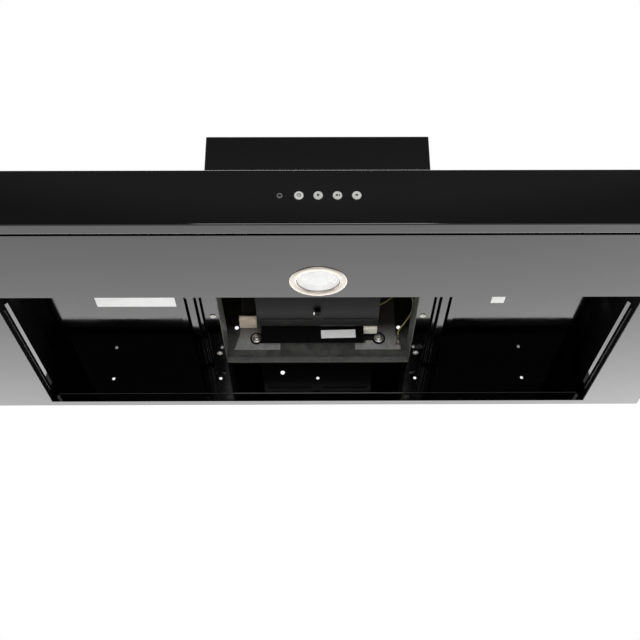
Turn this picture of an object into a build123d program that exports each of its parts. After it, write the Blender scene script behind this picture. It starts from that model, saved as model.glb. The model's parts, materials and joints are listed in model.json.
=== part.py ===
"""Slim gloss black range hood: a shallow canopy with a blower box standing on its back half.

Frame: +X to the right as the user faces the hood, -Y towards the user, +Z up. The origin is midway
between the two wall-hanging holes, on the outer face of the back.
"""

import os
from math import acos, cos, degrees, radians, sin, sqrt, tan

from build123d import *

os.makedirs("parts", exist_ok=True)

# Driving dimensions, in millimetres.
WIDTH = 914.0  # overall width
DEPTH = 480.0  # wall to front face
CANOPY_H = 68.0  # height of the front fascia
CEILING = 66.0  # canopy's inner height, up to the underface of the top panel
SHEET = 1.0  # steel sheet
BEND_R = 2.0  # outer radius of a fold
HOOK_H = 123.0  # wall-hanging holes above the underside
HOOK_SPACING = 240.0
HOOK_R = 3.0

BOX_W = 302.0  # blower box
BOX_D = 240.0
BOX_TOP = 292.0  # top of the box above the underside

RETURN_DEPTH = 18.9  # fascia's folded bottom strip
DECK_START = 21.9  # front edge of the underside frame
HEM_H = 9.0
MOUTH_X = 377.0  # half width of the filter opening
MOUTH_FRONT = 157.0  # filter opening, behind the front face
MOUTH_REAR = 466.5
MOUTH_LIP = 13.0

RAIL_FRONT = 205.0  # shaped length of the filter rails
RAIL_REAR = 446.0
RAIL_LEDGE_H = 9.7
RAIL_LEDGE = 1.2
RAIL_SLOPE_H = (17.0, 19.8)
RAIL_REACH = 3.3

PORT_X = 132.0  # half width of the opening from canopy to blower box
PORT_FRONT = 256.0
PORT_LIP = 36.0
PORT_FOLD = 27.0
PORT_HEM = 8.5
BOX_SCREW_X = 140.0
BOX_SCREW_DEPTHS = (331.0, 446.0)

BACK_SCREW_X = (-295.5, -140.5, 0.0, 140.5, 295.5)  # lower wall screws
BACK_SCREW_H = 41.0
BACK_SCREW_R = 2.1
CABLE_HOLE_X = -51.0
CABLE_HOLE_H = 50.0

CONTROL_H = 35.0  # row of buttons above the underside
BUTTON_PITCH = 20.0
BUTTON_R = 4.8
BUTTON_OUT = 1.2  # how far a button stands out, which is also its travel
LED_R = 3.4
SLOT_GAP = 0.35  # clearance round a button

LAMP_DEPTH = 119.0
LAMP_FLANGE_R = 32.5
LAMP_LENS_R = 24.5
LAMP_PROUD = 1.4

BLOWER_DEPTH = 350.0  # impeller axis behind the front face
BLOWER_H = 178.0  # impeller axis above the underside
SCROLL_W = 166.0
SCROLL_R = 96.0  # spiral's first radius
SCROLL_STEPS = (6.0, 3.0)  # growth of the spiral at the front and at the bottom
SCROLL_WALL = 2.0
TONGUE = -10.0  # outlet's front wall from the axis
INLET_R = 62.0
WHEEL_R = 76.0
BLADE_HALF_L = 60.0
BLADES = 40
SHAFT_R = 4.0
RUN_GAP = 0.04  # radial running clearance

DUCT_DEPTH = 400.0
DUCT_R = 59.5
DUCT_H = 35.0
DUCT_WALL = 1.2
DAMPER_H = 10.0  # hinge pin above the box top

# Planes and places worked out from them.
FRONT = -DEPTH
UNDERSIDE = -HOOK_H
INNER_X = WIDTH / 2 - SHEET
AXIS_Y = FRONT + BLOWER_DEPTH
AXIS_Z = UNDERSIDE + BLOWER_H
LAMP_Y = FRONT + LAMP_DEPTH
CONTROL_Z = UNDERSIDE + CONTROL_H
DUCT_Y = FRONT + DUCT_DEPTH
PIN_Z = UNDERSIDE + BOX_TOP + DAMPER_H
SIDES = {"left": -1, "right": 1}


def level(height):
    """Z of a height above the underside."""
    return UNDERSIDE + height


def behind(depth):
    """Y of a depth behind the front face."""
    return FRONT + depth


def across(y):
    """Upright plane at y, seen from the front: sketch in X and Z, extrude towards the user."""
    return Plane.XZ.offset(-y)


def along(x):
    """Upright plane at x, seen from the right: sketch in Y and Z, extrude to the right."""
    return Plane.YZ.offset(x)


def flat(z):
    """Level plane at z: sketch in X and Y, extrude up."""
    return Plane.XY.offset(z)


def blower_plane(x):
    """Upright plane at x with its origin on the impeller's axis."""
    return Plane(origin=(x, AXIS_Y, AXIS_Z), x_dir=(0, 1, 0), z_dir=(1, 0, 0))


def span(low_1, high_1, low_2, high_2, mode=Mode.ADD):
    """Rectangle between two edges each way."""
    with Locations(((low_1 + high_1) / 2, (low_2 + high_2) / 2)):
        Rectangle(abs(high_1 - low_1), abs(high_2 - low_2), mode=mode)


def tube(outer, inner):
    """Ring between two radii."""
    Circle(outer)
    Circle(inner, mode=Mode.SUBTRACT)


def write_piece(piece, name):
    """Label a finished piece and write its STEP file."""
    piece.part.label = name
    export_step(piece.part, f"parts/{name}.step")


# ------------------------------------------------------------------ canopy sheets
with BuildPart() as front_fascia:
    with BuildSketch(along(-WIDTH / 2)):
        with BuildLine():
            FilletPolyline(
                (behind(14), level(CANOPY_H)),
                (FRONT, level(CANOPY_H)),
                (FRONT, UNDERSIDE),
                (behind(RETURN_DEPTH), UNDERSIDE),
                (behind(RETURN_DEPTH), level(HEM_H)),
                radius=BEND_R,
            )
            offset(amount=SHEET, side=Side.LEFT)
        make_face()
    extrude(amount=WIDTH)
    for side in SIDES.values():
        with BuildSketch(along(side * WIDTH / 2)):
            span(behind(SHEET), behind(30), level(-1), level(CANOPY_H + 1))
        extrude(amount=-side * SHEET, mode=Mode.SUBTRACT)
    with BuildSketch(across(behind(SHEET))):
        with Locations((BUTTON_PITCH, CONTROL_Z)):
            with GridLocations(BUTTON_PITCH, BUTTON_PITCH, 3, 1):
                Circle(BUTTON_R + SLOT_GAP)
        with Locations((-BUTTON_PITCH, CONTROL_Z)):
            Circle(BUTTON_R + SLOT_GAP)
        with Locations((-2 * BUTTON_PITCH, CONTROL_Z)):
            Circle(LED_R)
    extrude(amount=SHEET, mode=Mode.SUBTRACT)
write_piece(front_fascia, "front_fascia")


def end_panel(side):
    """Flat side of the canopy, tucked behind the fascia."""
    with BuildPart() as panel:
        with BuildSketch(along(side * WIDTH / 2)):
            span(behind(SHEET), 0, UNDERSIDE, level(CANOPY_H))
        extrude(amount=-side * SHEET)
    return panel


for name, side in SIDES.items():
    write_piece(end_panel(side), f"end_panel_{name}")

with BuildPart() as underside_frame:
    with BuildSketch(flat(UNDERSIDE)):
        span(-INNER_X, INNER_X, behind(DECK_START), -SHEET)
        span(-MOUTH_X, MOUTH_X, behind(MOUTH_FRONT), behind(MOUTH_REAR), Mode.SUBTRACT)
        with Locations((0, LAMP_Y)):
            Circle(LAMP_FLANGE_R - 4, mode=Mode.SUBTRACT)
    extrude(amount=SHEET)
    with BuildSketch(flat(UNDERSIDE)):
        span(-INNER_X, INNER_X, behind(DECK_START), behind(DECK_START + SHEET))
    extrude(amount=HEM_H)
    with BuildSketch(flat(UNDERSIDE)):
        span(-MOUTH_X, MOUTH_X, behind(MOUTH_FRONT - SHEET), behind(MOUTH_FRONT))
        span(-MOUTH_X, MOUTH_X, behind(MOUTH_REAR), behind(MOUTH_REAR + SHEET))
    extrude(amount=MOUTH_LIP)
write_piece(underside_frame, "underside_frame")

with BuildPart() as top_panel:
    with BuildSketch(flat(level(CEILING))):
        span(-INNER_X, INNER_X, behind(BEND_R), -SHEET)
        span(-PORT_X, PORT_X, behind(PORT_FRONT), -2 * SHEET, Mode.SUBTRACT)
        with Locations(*[(x, behind(d)) for x in (-BOX_SCREW_X, BOX_SCREW_X) for d in BOX_SCREW_DEPTHS]):
            Circle(2.1, mode=Mode.SUBTRACT)
    extrude(amount=SHEET)
    # Lips folded up at the two sides of the blower opening, where the edging clips on.
    with BuildSketch(flat(level(CEILING))):
        for side in SIDES.values():
            span(side * PORT_X, side * (PORT_X + SHEET), behind(PORT_FRONT + 2), behind(472))
    extrude(amount=PORT_FOLD)
write_piece(top_panel, "top_panel")

# Zinc edging of the blower opening: high sides and a low back.
with BuildPart() as port_frame:
    with BuildSketch(flat(level(CEILING))):
        for side in SIDES.values():
            span(side * (PORT_X - SHEET), side * PORT_X, behind(PORT_FRONT + 2), -2 * SHEET)
    extrude(amount=PORT_LIP)
    with BuildSketch(flat(level(CEILING))):
        span(-PORT_X, PORT_X, -3 * SHEET, -2 * SHEET)
    extrude(amount=PORT_HEM)
    with BuildSketch(along(PORT_X - SHEET)):
        span(behind(433), behind(441), level(CEILING + PORT_LIP - 5), level(CEILING + PORT_LIP))
    extrude(amount=SHEET, mode=Mode.SUBTRACT)
write_piece(port_frame, "port_frame")

with BuildPart() as back_panel:
    with BuildSketch(across(0)):
        span(-INNER_X, INNER_X, UNDERSIDE, level(CEILING + SHEET))
        with Locations(*[(x, level(BACK_SCREW_H)) for x in BACK_SCREW_X]):
            Circle(BACK_SCREW_R, mode=Mode.SUBTRACT)
        with Locations((CABLE_HOLE_X, level(CABLE_HOLE_H))):
            Circle(HOOK_R, mode=Mode.SUBTRACT)
    extrude(amount=SHEET)
write_piece(back_panel, "back_panel")


def filter_rail(side):
    """Side wall of the filter opening, with a narrow ledge and a sloping guide along it."""
    wall = side * MOUTH_X
    reach = wall - side * RAIL_REACH
    with BuildPart() as rail:
        with BuildSketch(across(behind(MOUTH_REAR))):
            span(wall, wall + side * SHEET, level(SHEET), level(CEILING))
        extrude(amount=MOUTH_REAR - MOUTH_FRONT)
        with BuildSketch(across(behind(RAIL_REAR))):
            span(wall, wall - side * RAIL_LEDGE, level(RAIL_LEDGE_H), level(RAIL_LEDGE_H + SHEET))
            with BuildLine():
                Polyline(
                    (wall, level(RAIL_SLOPE_H[0])),
                    (reach, level(RAIL_SLOPE_H[1])),
                    (reach, level(RAIL_SLOPE_H[1] + SHEET)),
                    (wall, level(RAIL_SLOPE_H[1] + SHEET)),
                    close=True,
                )
            make_face()
        extrude(amount=RAIL_REAR - RAIL_FRONT)
    return rail


def ceiling_stiffener(side):
    """Pressed hat section under the ceiling, just outside the blower opening."""
    crown = ((150.5, 65), (153.5, 62.5), (156.3, 62.5), (159.8, 59.5), (168.2, 59.5), (173, 64.5), (173.5, 65), (181, 65))
    lower = [(side * x, level(h)) for x, h in crown]
    upper = [(side * x, level(h + SHEET)) for x, h in reversed(crown)]
    with BuildPart() as stiffener:
        with BuildSketch(across(behind(470))):
            with BuildLine():
                Polyline(*lower, *upper, close=True)
            make_face()
        extrude(amount=470 - 170)
    return stiffener


for name, side in SIDES.items():
    write_piece(filter_rail(side), f"filter_rail_{name}")
    write_piece(ceiling_stiffener(side), f"ceiling_stiffener_{name}")

# ------------------------------------------------------------------ blower box sheets
BOX_FLOOR = CEILING + SHEET
FLANGE_X = PORT_X + 2 * SHEET

with BuildPart() as box_wrap:
    with BuildSketch(flat(level(BOX_FLOOR))):
        with BuildLine():
            FilletPolyline(
                (-BOX_W / 2, 0), (-BOX_W / 2, -BOX_D), (BOX_W / 2, -BOX_D), (BOX_W / 2, 0), radius=BEND_R
            )
            offset(amount=SHEET, side=Side.LEFT)
        make_face()
    extrude(amount=BOX_TOP - BOX_FLOOR - SHEET)
    with BuildSketch(flat(level(BOX_FLOOR))):
        for side in SIDES.values():
            span(side * FLANGE_X, side * (BOX_W / 2 - SHEET), -BOX_D + SHEET, -2 * SHEET)
        span(-FLANGE_X, FLANGE_X, -BOX_D + SHEET, behind(PORT_FRONT - 2))
        with Locations(*[(x, behind(d)) for x in (-BOX_SCREW_X, BOX_SCREW_X) for d in BOX_SCREW_DEPTHS]):
            Circle(2.1, mode=Mode.SUBTRACT)
    extrude(amount=SHEET)
write_piece(box_wrap, "box_wrap")

FOOT_SCREW_X = 90.0  # big screws that hold the blower's brackets to the back
FOOT_SCREW_H = 104.0
FOOT_SCREW_R = 2.5

with BuildPart() as box_back:
    with BuildSketch(across(0)):
        span(-BOX_W / 2 + SHEET, BOX_W / 2 - SHEET, level(BOX_FLOOR), level(BOX_TOP - SHEET))
        with GridLocations(HOOK_SPACING, 1, 2, 1):
            Circle(HOOK_R, mode=Mode.SUBTRACT)
        with Locations((-FOOT_SCREW_X, level(FOOT_SCREW_H)), (FOOT_SCREW_X, level(FOOT_SCREW_H))):
            Circle(FOOT_SCREW_R + 0.1, mode=Mode.SUBTRACT)
    extrude(amount=SHEET)
write_piece(box_back, "box_back")

with BuildPart() as box_top:
    with BuildSketch(flat(level(BOX_TOP - SHEET))):
        span(-BOX_W / 2, BOX_W / 2, -BOX_D, 0)
        with Locations((0, DUCT_Y)):
            Circle(DUCT_R - DUCT_WALL, mode=Mode.SUBTRACT)
    extrude(amount=SHEET)
    fillet(box_top.edges().filter_by(Axis.Z).group_by(Axis.Y)[0], radius=BEND_R)
write_piece(box_top, "box_top")

# ------------------------------------------------------------------ duct collar and damper
FLAP_R = DUCT_R - DUCT_WALL - 1.5
KNUCKLE_R = 2.8
PIN_R = 1.5

with BuildPart() as duct_collar:
    with BuildSketch(flat(level(BOX_TOP))):
        with Locations((0, DUCT_Y)):
            tube(DUCT_R, DUCT_R - DUCT_WALL)
    extrude(amount=DUCT_H)
    with BuildSketch(flat(level(BOX_TOP))):
        with Locations((0, DUCT_Y)):
            tube(DUCT_R + 12, DUCT_R - DUCT_WALL)
    extrude(amount=SHEET)
    # Inner rim that the closed flaps rest on.
    with BuildSketch(flat(PIN_Z - 4)):
        with Locations((0, DUCT_Y)):
            tube(DUCT_R - DUCT_WALL, FLAP_R - 1.8)
    extrude(amount=3)
    with BuildSketch(along(-DUCT_R - 1)):
        with Locations((DUCT_Y, PIN_Z)):
            Circle(PIN_R)
    extrude(amount=2 * DUCT_R + 2, mode=Mode.SUBTRACT)
write_piece(duct_collar, "duct_collar")

with BuildPart() as damper_pin:
    with BuildSketch(along(-DUCT_R)):
        with Locations((DUCT_Y, PIN_Z)):
            Circle(PIN_R)
    extrude(amount=2 * DUCT_R)
write_piece(damper_pin, "damper_pin")


def damper_flap(side, knuckles):
    """Half disc of the butterfly damper, hung from the pin by its own two knuckles."""
    edge = DUCT_Y + side * (KNUCKLE_R + 0.6)
    with BuildPart() as flap:
        with BuildSketch(flat(PIN_Z - SHEET / 2)):
            with Locations((0, DUCT_Y)):
                Circle(FLAP_R)
            span(-DUCT_R, DUCT_R, edge, DUCT_Y - side * DUCT_R, Mode.SUBTRACT)
        extrude(amount=SHEET)
        for start in knuckles:
            with BuildSketch(along(start)):
                with Locations((DUCT_Y, PIN_Z)):
                    Circle(KNUCKLE_R)
                span(DUCT_Y, edge + side, PIN_Z - SHEET / 2, PIN_Z + SHEET / 2)
                with Locations((DUCT_Y, PIN_Z)):
                    Circle(PIN_R + RUN_GAP, mode=Mode.SUBTRACT)
            extrude(amount=16)
    return flap


write_piece(damper_flap(-1, (-44, 8)), "damper_flap_front")
write_piece(damper_flap(1, (-24, 28)), "damper_flap_rear")


# ------------------------------------------------------------------ blower scroll
def scroll_face(wall):
    """Spiral outline round the impeller's axis with a straight outlet going up, drawn in by wall."""
    step_1, step_2 = SCROLL_STEPS
    r_1 = SCROLL_R - wall
    r_2 = r_1 + step_1
    r_3 = r_2 + step_2
    tongue_x = TONGUE + wall
    outlet_top = BOX_TOP - SHEET - 0.5 - BLOWER_H
    tongue_angle = degrees(acos(tongue_x / r_1))
    with BuildSketch() as face:
        with BuildLine():
            CenterArc((0, 0), r_1, tongue_angle, 180 - tongue_angle)
            CenterArc((step_1, 0), r_2, 180, 90)
            CenterArc((step_1, step_2), r_3, 270, 90)
            Polyline(
                (step_1 + r_3, step_2),
                (step_1 + r_3, outlet_top),
                (tongue_x, outlet_top),
                (tongue_x, sqrt(r_1**2 - tongue_x**2)),
            )
        make_face()
    return face.sketch


EAR_PLACES = ((-97, 105.2), (150, 99.5), (-20, 113.2))  # angle and radius of each screw ear


def scroll_half(side):
    """Moulded half of the blower housing, open at the seam and with a bell-mouthed inlet."""
    outline = scroll_face(0)
    hollow = scroll_face(SCROLL_WALL)
    ears = [(r * cos(radians(a)), r * sin(radians(a))) for a, r in EAR_PLACES]
    with BuildPart() as half:
        with BuildSketch(blower_plane(0)):
            add(outline)
        extrude(amount=side * SCROLL_W / 2)
        with BuildSketch(blower_plane(0)):
            with Locations(*ears):
                Circle(5)
        extrude(amount=side * 4)
        # Raised ledge across the bottom, stopping short of the seam.
        with BuildSketch(blower_plane(side * 8)):
            span(9, 13, -103.1, -95)
        extrude(amount=side * (SCROLL_W / 2 - 14))
        with BuildSketch(blower_plane(0)):
            add(hollow)
        extrude(amount=side * (SCROLL_W / 2 - SCROLL_WALL), mode=Mode.SUBTRACT)
        with BuildSketch(blower_plane(side * (SCROLL_W / 2 - 10))):
            tube(INLET_R + 2, INLET_R)
        extrude(amount=side * 9)
        with BuildSketch(blower_plane(side * (SCROLL_W / 2 - 10))):
            Circle(INLET_R)
        extrude(amount=side * 10, mode=Mode.SUBTRACT)
        with BuildSketch(blower_plane(0)):
            with Locations(*ears):
                Circle(1.5)
        extrude(amount=side * 4, mode=Mode.SUBTRACT)
    return half


for name, side in SIDES.items():
    write_piece(scroll_half(side), f"scroll_{name}")

with BuildPart() as scroll_screws:
    for angle, radius in EAR_PLACES:
        with BuildSketch(blower_plane(-4)):
            with Locations((radius * cos(radians(angle)), radius * sin(radians(angle)))):
                Circle(1.4)
        extrude(amount=8)
        with BuildSketch(blower_plane(-6)):
            with Locations((radius * cos(radians(angle)), radius * sin(radians(angle)))):
                Circle(3)
        extrude(amount=2)
write_piece(scroll_screws, "scroll_screws")


def inlet_guard(start):
    """Finger guard of rings and spokes over one inlet."""
    with BuildPart() as guard:
        with BuildSketch(blower_plane(start)):
            for outer in (74, 57, 41, 25):
                tube(outer, outer - 4 if outer == 74 else outer - 2)
                with PolarLocations(48, 6):
                    Rectangle(50, 3)
                Circle(23, mode=Mode.SUBTRACT)
        extrude(amount=2)
    return guard


write_piece(inlet_guard(-SCROLL_W / 2 - 4), "inlet_guard_left")
write_piece(inlet_guard(SCROLL_W / 2), "inlet_guard_right")

# ------------------------------------------------------------------ impeller and motor
MOTOR_R = 37.0
MOTOR_X = (-68.0, -12.0)  # open end and closed end of the motor case
BEARING_R = 6.0
BEARING_L = 8.0
ROTOR_R = 22.0

with BuildPart() as impeller:
    with BuildSketch(blower_plane(-1)):
        Circle(WHEEL_R - 2)
    extrude(amount=2)
    with BuildSketch(blower_plane(-1)):
        Circle(12)
    extrude(amount=12)
    with BuildSketch(blower_plane(-BLADE_HALF_L)):
        with PolarLocations(WHEEL_R - 7.5, BLADES):
            Rectangle(13, 1.2, rotation=32)
    extrude(amount=2 * BLADE_HALF_L)
    for start in (-BLADE_HALF_L - 2, BLADE_HALF_L - 1):
        with BuildSketch(blower_plane(start)):
            tube(WHEEL_R, WHEEL_R - 5)
        extrude(amount=3)
    with BuildSketch(blower_plane(-1)):
        Circle(SHAFT_R)
    extrude(amount=12, mode=Mode.SUBTRACT)
write_piece(impeller, "impeller")

with BuildPart() as motor_shaft:
    with BuildSketch(blower_plane(MOTOR_X[0] - 8)):
        Circle(SHAFT_R)
    extrude(amount=11 - MOTOR_X[0] + 8)
    chamfer(motor_shaft.edges().filter_by(GeomType.CIRCLE), length=0.5)
write_piece(motor_shaft, "motor_shaft")

with BuildPart() as motor_rotor:
    with BuildSketch(blower_plane(-56)):
        tube(ROTOR_R, SHAFT_R)
    extrude(amount=30)
write_piece(motor_rotor, "motor_rotor")

with BuildPart() as motor_stator:
    with BuildSketch(blower_plane(-58)):
        tube(MOTOR_R - 2, ROTOR_R + 0.5)
    extrude(amount=34)
write_piece(motor_stator, "motor_stator")

with BuildPart() as motor_case:
    with BuildSketch(blower_plane(MOTOR_X[0])):
        Circle(MOTOR_R)
    extrude(amount=MOTOR_X[1] - MOTOR_X[0])
    fillet(motor_case.edges().group_by(Axis.X)[-1], radius=3)
    with BuildSketch(blower_plane(MOTOR_X[0])):
        Circle(MOTOR_R - 2)
    extrude(amount=MOTOR_X[1] - MOTOR_X[0] - 3, mode=Mode.SUBTRACT)
    with BuildSketch(blower_plane(MOTOR_X[1] - BEARING_L)):
        Circle(BEARING_R + 3)
    extrude(amount=BEARING_L - 1)
    with BuildSketch(blower_plane(MOTOR_X[1] - BEARING_L)):
        Circle(BEARING_R)
    extrude(amount=BEARING_L, mode=Mode.SUBTRACT)
write_piece(motor_case, "motor_case")

with BuildPart() as motor_end_cap:
    with BuildSketch(blower_plane(MOTOR_X[0] - 3)):
        tube(MOTOR_R, BEARING_R)
    extrude(amount=3)
    with BuildSketch(blower_plane(MOTOR_X[0])):
        tube(BEARING_R + 3, BEARING_R)
    extrude(amount=BEARING_L - 3)
write_piece(motor_end_cap, "motor_end_cap")

with BuildPart() as motor_bearings:
    for start in (MOTOR_X[0] - 3, MOTOR_X[1] - BEARING_L):
        with BuildSketch(blower_plane(start)):
            tube(BEARING_R, SHAFT_R + RUN_GAP)
        extrude(amount=BEARING_L)
write_piece(motor_bearings, "motor_bearings")

with BuildPart() as motor_support:
    with BuildSketch(blower_plane(-SCROLL_W / 2 - 2)):
        tube(28, 12)
        with PolarLocations(48, 3):
            Rectangle(46, 14)
    extrude(amount=2)
    with BuildSketch(blower_plane(-SCROLL_W / 2)):
        with PolarLocations(20, 3):
            Circle(4)
    extrude(amount=SCROLL_W / 2 + MOTOR_X[0] - 3)
write_piece(motor_support, "motor_support")


# ------------------------------------------------------------------ brackets and their screws
def blower_bracket(side):
    """Galvanised strap: a foot and an upright on the back, and an arm forward to the scroll's neck."""
    inner = SCROLL_W / 2
    foot = ((55, 87), (122, 87), (114.7, 112), (114.7, 277), (inner, 277), (inner, 112), (76, 112), (70, 97), (55, 97))
    with BuildPart() as bracket:
        with BuildSketch(across(-SHEET)):
            with BuildLine():
                Polyline(*[(side * x, level(h)) for x, h in foot], close=True)
            make_face()
            with Locations((side * FOOT_SCREW_X, level(FOOT_SCREW_H))):
                Circle(FOOT_SCREW_R + 0.1, mode=Mode.SUBTRACT)
        extrude(amount=1.2)
        with BuildSketch(along(side * inner)):
            span(-SHEET, -60, level(255), level(277))
        extrude(amount=side * 1.2)
    return bracket


for name, side in SIDES.items():
    write_piece(blower_bracket(side), f"blower_bracket_{name}")

FOOT_FACE = -SHEET - 1.2
EAR_T = 1.6  # control box ears, held under the same two screws
EAR_FACE = FOOT_FACE - EAR_T

with BuildPart() as cup_washers:
    for side in SIDES.values():
        with BuildSketch(across(EAR_FACE)):
            with Locations((side * FOOT_SCREW_X, level(FOOT_SCREW_H))):
                tube(7.25, FOOT_SCREW_R + 0.1)
        extrude(amount=2.2)
    chamfer(cup_washers.edges().group_by(Axis.Y)[0].filter_by(lambda e: e.radius > 5), length=1.4)
write_piece(cup_washers, "cup_washers")

with BuildPart() as blower_screws:
    for side in SIDES.values():
        with BuildSketch(across(-0.2)):
            with Locations((side * FOOT_SCREW_X, level(FOOT_SCREW_H))):
                Circle(FOOT_SCREW_R)
        extrude(amount=-EAR_FACE + 2.0)
        with BuildSketch(across(EAR_FACE - 2.2)):
            with Locations((side * FOOT_SCREW_X, level(FOOT_SCREW_H))):
                Circle(4.6)
        extrude(amount=2.4)
        with BuildSketch(across(EAR_FACE - 3.2)):
            with Locations((side * FOOT_SCREW_X, level(FOOT_SCREW_H))):
                Rectangle(5, 1)
                Rectangle(1, 5)
        extrude(amount=1.4, mode=Mode.SUBTRACT)
write_piece(blower_screws, "blower_screws")

with BuildPart() as box_screws:
    for x in (-BOX_SCREW_X, BOX_SCREW_X):
        for depth in BOX_SCREW_DEPTHS:
            with BuildSketch(flat(level(CEILING - 2.2))):
                with Locations((x, behind(depth))):
                    Circle(4.25)
            extrude(amount=2.2)
            with BuildSketch(flat(level(CEILING))):
                with Locations((x, behind(depth))):
                    Circle(2)
            extrude(amount=6)
            with BuildSketch(flat(level(CEILING - 2.2))):
                with Locations((x, behind(depth))):
                    Rectangle(4, 0.8)
                    Rectangle(0.8, 4)
            extrude(amount=1, mode=Mode.SUBTRACT)
write_piece(box_screws, "box_screws")

# ------------------------------------------------------------------ control box and wiring
CASE_X = (-82.5, 67.0)
CASE_FRONT = -24.0
CASE_SPLIT = -9.0
CASE_TOP = 130.0
CASE_WALL = 1.5


def case_underside(y):
    """Height of the control box's sloping underside at y."""
    return 99 + (y + SHEET) * 13 / (-CASE_FRONT - SHEET)


def case_section(rear, front, inset):
    """Side view of a slice of the control box, drawn in by inset above and below."""
    with BuildSketch() as section:
        with BuildLine():
            Polyline(
                (rear, level(case_underside(rear) + inset)),
                (front, level(case_underside(front) + inset)),
                (front, level(CASE_TOP - inset)),
                (rear, level(CASE_TOP - inset)),
                close=True,
            )
        make_face()
    return section.sketch


with BuildPart() as control_box:
    with BuildSketch(along(CASE_X[0])):
        add(case_section(-SHEET - 1.2, CASE_SPLIT, 0))
    extrude(amount=CASE_X[1] - CASE_X[0])
    with BuildSketch(along(CASE_X[0] + CASE_WALL)):
        add(case_section(-SHEET - 1.2 - CASE_WALL, CASE_SPLIT, CASE_WALL))
    extrude(amount=CASE_X[1] - CASE_X[0] - 2 * CASE_WALL, mode=Mode.SUBTRACT)
    # An ear at each end reaches out to the blower's big screw.
    for side, end in ((-1, CASE_X[0] + CASE_WALL), (1, CASE_X[1] - CASE_WALL)):
        with BuildSketch(across(FOOT_FACE)):
            with Locations((side * FOOT_SCREW_X, level(FOOT_SCREW_H))):
                Circle(9.5)
            span(min(end, side * FOOT_SCREW_X), max(end, side * FOOT_SCREW_X), level(101), level(111))
            with Locations((side * FOOT_SCREW_X, level(FOOT_SCREW_H))):
                Circle(FOOT_SCREW_R + 0.1, mode=Mode.SUBTRACT)
        extrude(amount=EAR_T)
write_piece(control_box, "control_box")

with BuildPart() as control_box_lid:
    with BuildSketch(along(CASE_X[0])):
        add(case_section(CASE_SPLIT, CASE_FRONT, 0))
    extrude(amount=CASE_X[1] - CASE_X[0])
    with BuildSketch(along(CASE_X[0] + CASE_WALL)):
        add(case_section(CASE_SPLIT, CASE_FRONT + CASE_WALL, CASE_WALL))
    extrude(amount=CASE_X[1] - CASE_X[0] - 2 * CASE_WALL, mode=Mode.SUBTRACT)
write_piece(control_box_lid, "control_box_lid")

with BuildPart() as control_board:
    with BuildSketch(across(-5)):
        span(CASE_X[0] + 10, CASE_X[1] - 10, level(100), level(126))
    extrude(amount=1.6)
write_piece(control_board, "control_board")

with BuildPart() as run_capacitor:
    with BuildSketch(along(-60)):
        with Locations((-15, level(114))):
            Circle(7)
    extrude(amount=48)
    chamfer(run_capacitor.edges().filter_by(GeomType.CIRCLE), length=0.8)
write_piece(run_capacitor, "run_capacitor")

with BuildPart() as control_label:
    with BuildSketch(across(CASE_FRONT)):
        with Locations((30, level(101))):
            Rectangle(50, 13, rotation=1.5)
    extrude(amount=0.3)
write_piece(control_label, "control_label")

with BuildPart() as left_connector:
    with BuildSketch(across(FOOT_FACE)):
        span(-115, -89.5, level(122), level(129))
    extrude(amount=27)
    with BuildSketch(across(FOOT_FACE)):
        span(-112.5, -92, level(123.2), level(127.8))
    extrude(amount=30)
write_piece(left_connector, "left_connector")

with BuildPart() as right_connectors:
    for low in (108.5, 118):
        with BuildSketch(across(-9)):
            span(CASE_X[1], 87, level(low), level(low + 9))
        extrude(amount=17)
        with BuildSketch(across(-26)):
            span(CASE_X[1] + 3, 84, level(low + 1.5), level(low + 7.5))
        extrude(amount=2)
write_piece(right_connectors, "right_connectors")

WIRE_R = 1.1
WIRE_START = (118.5, -5.2, 108.0)  # X, Y and height above the underside

with BuildPart() as earth_terminal:
    with BuildSketch(across(FOOT_FACE)):
        span(114.5, 122.5, level(90), level(98))
    extrude(amount=0.9)
    with BuildSketch(across(FOOT_FACE)):
        span(115.8, 121.2, level(97), level(108))
    extrude(amount=5.4)
    fillet(earth_terminal.edges().filter_by(Axis.Z).group_by(Axis.Y)[0], radius=1.2)
write_piece(earth_terminal, "earth_terminal")

EARTH_ROUTE = (
    WIRE_START,
    (119.5, -5.6, 116.0),
    (128.0, -12.0, 124.0),
    (140.0, -22.0, 138.0),
    (141.0, -30.0, 158.0),
    (130.0, -38.0, 166.0),
    (114.0, -42.0, 156.0),
    (100.0, -44.0, 143.0),
    (84.3, -46.0, 134.0),
)


def corner_radii(points):
    """Largest even radius for each corner of a route: 0.45 of the shorter run over tan of half the turn."""
    radii = []
    for before, at, after in zip(points, points[1:], points[2:]):
        run_in = Vector(*at) - Vector(*before)
        run_out = Vector(*after) - Vector(*at)
        half_turn = radians(run_in.get_angle(run_out) / 2)
        radii.append(0.45 * min(run_in.length, run_out.length) / tan(half_turn))
    return radii


with BuildPart() as earth_wire:
    corners = [(x, y, level(h)) for x, y, h in EARTH_ROUTE]
    with BuildLine() as route:
        FilletPolyline(*corners, radius=corner_radii(corners))
    with BuildSketch(Plane(origin=route.line @ 0, z_dir=route.line % 0)):
        Circle(WIRE_R)
    sweep()
write_piece(earth_wire, "earth_wire")
print("earth wire radii", [round(r, 1) for r in corner_radii(corners)])
print("earth wire length", round(sum(edge.length for edge in route.edges()), 1))

# ------------------------------------------------------------------ lamp
LAMP_TUBE_R = 28.0

with BuildPart() as lamp_bezel:
    with BuildSketch(Plane((0, LAMP_Y, level(-LAMP_PROUD)))):
        tube(LAMP_FLANGE_R, LAMP_LENS_R)
    extrude(amount=LAMP_PROUD)
    chamfer(lamp_bezel.edges().group_by(Axis.Z)[0], length=0.5)
    with BuildSketch(Plane((0, LAMP_Y, UNDERSIDE))):
        tube(LAMP_TUBE_R, LAMP_LENS_R)
    extrude(amount=9)
write_piece(lamp_bezel, "lamp_bezel")

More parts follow.
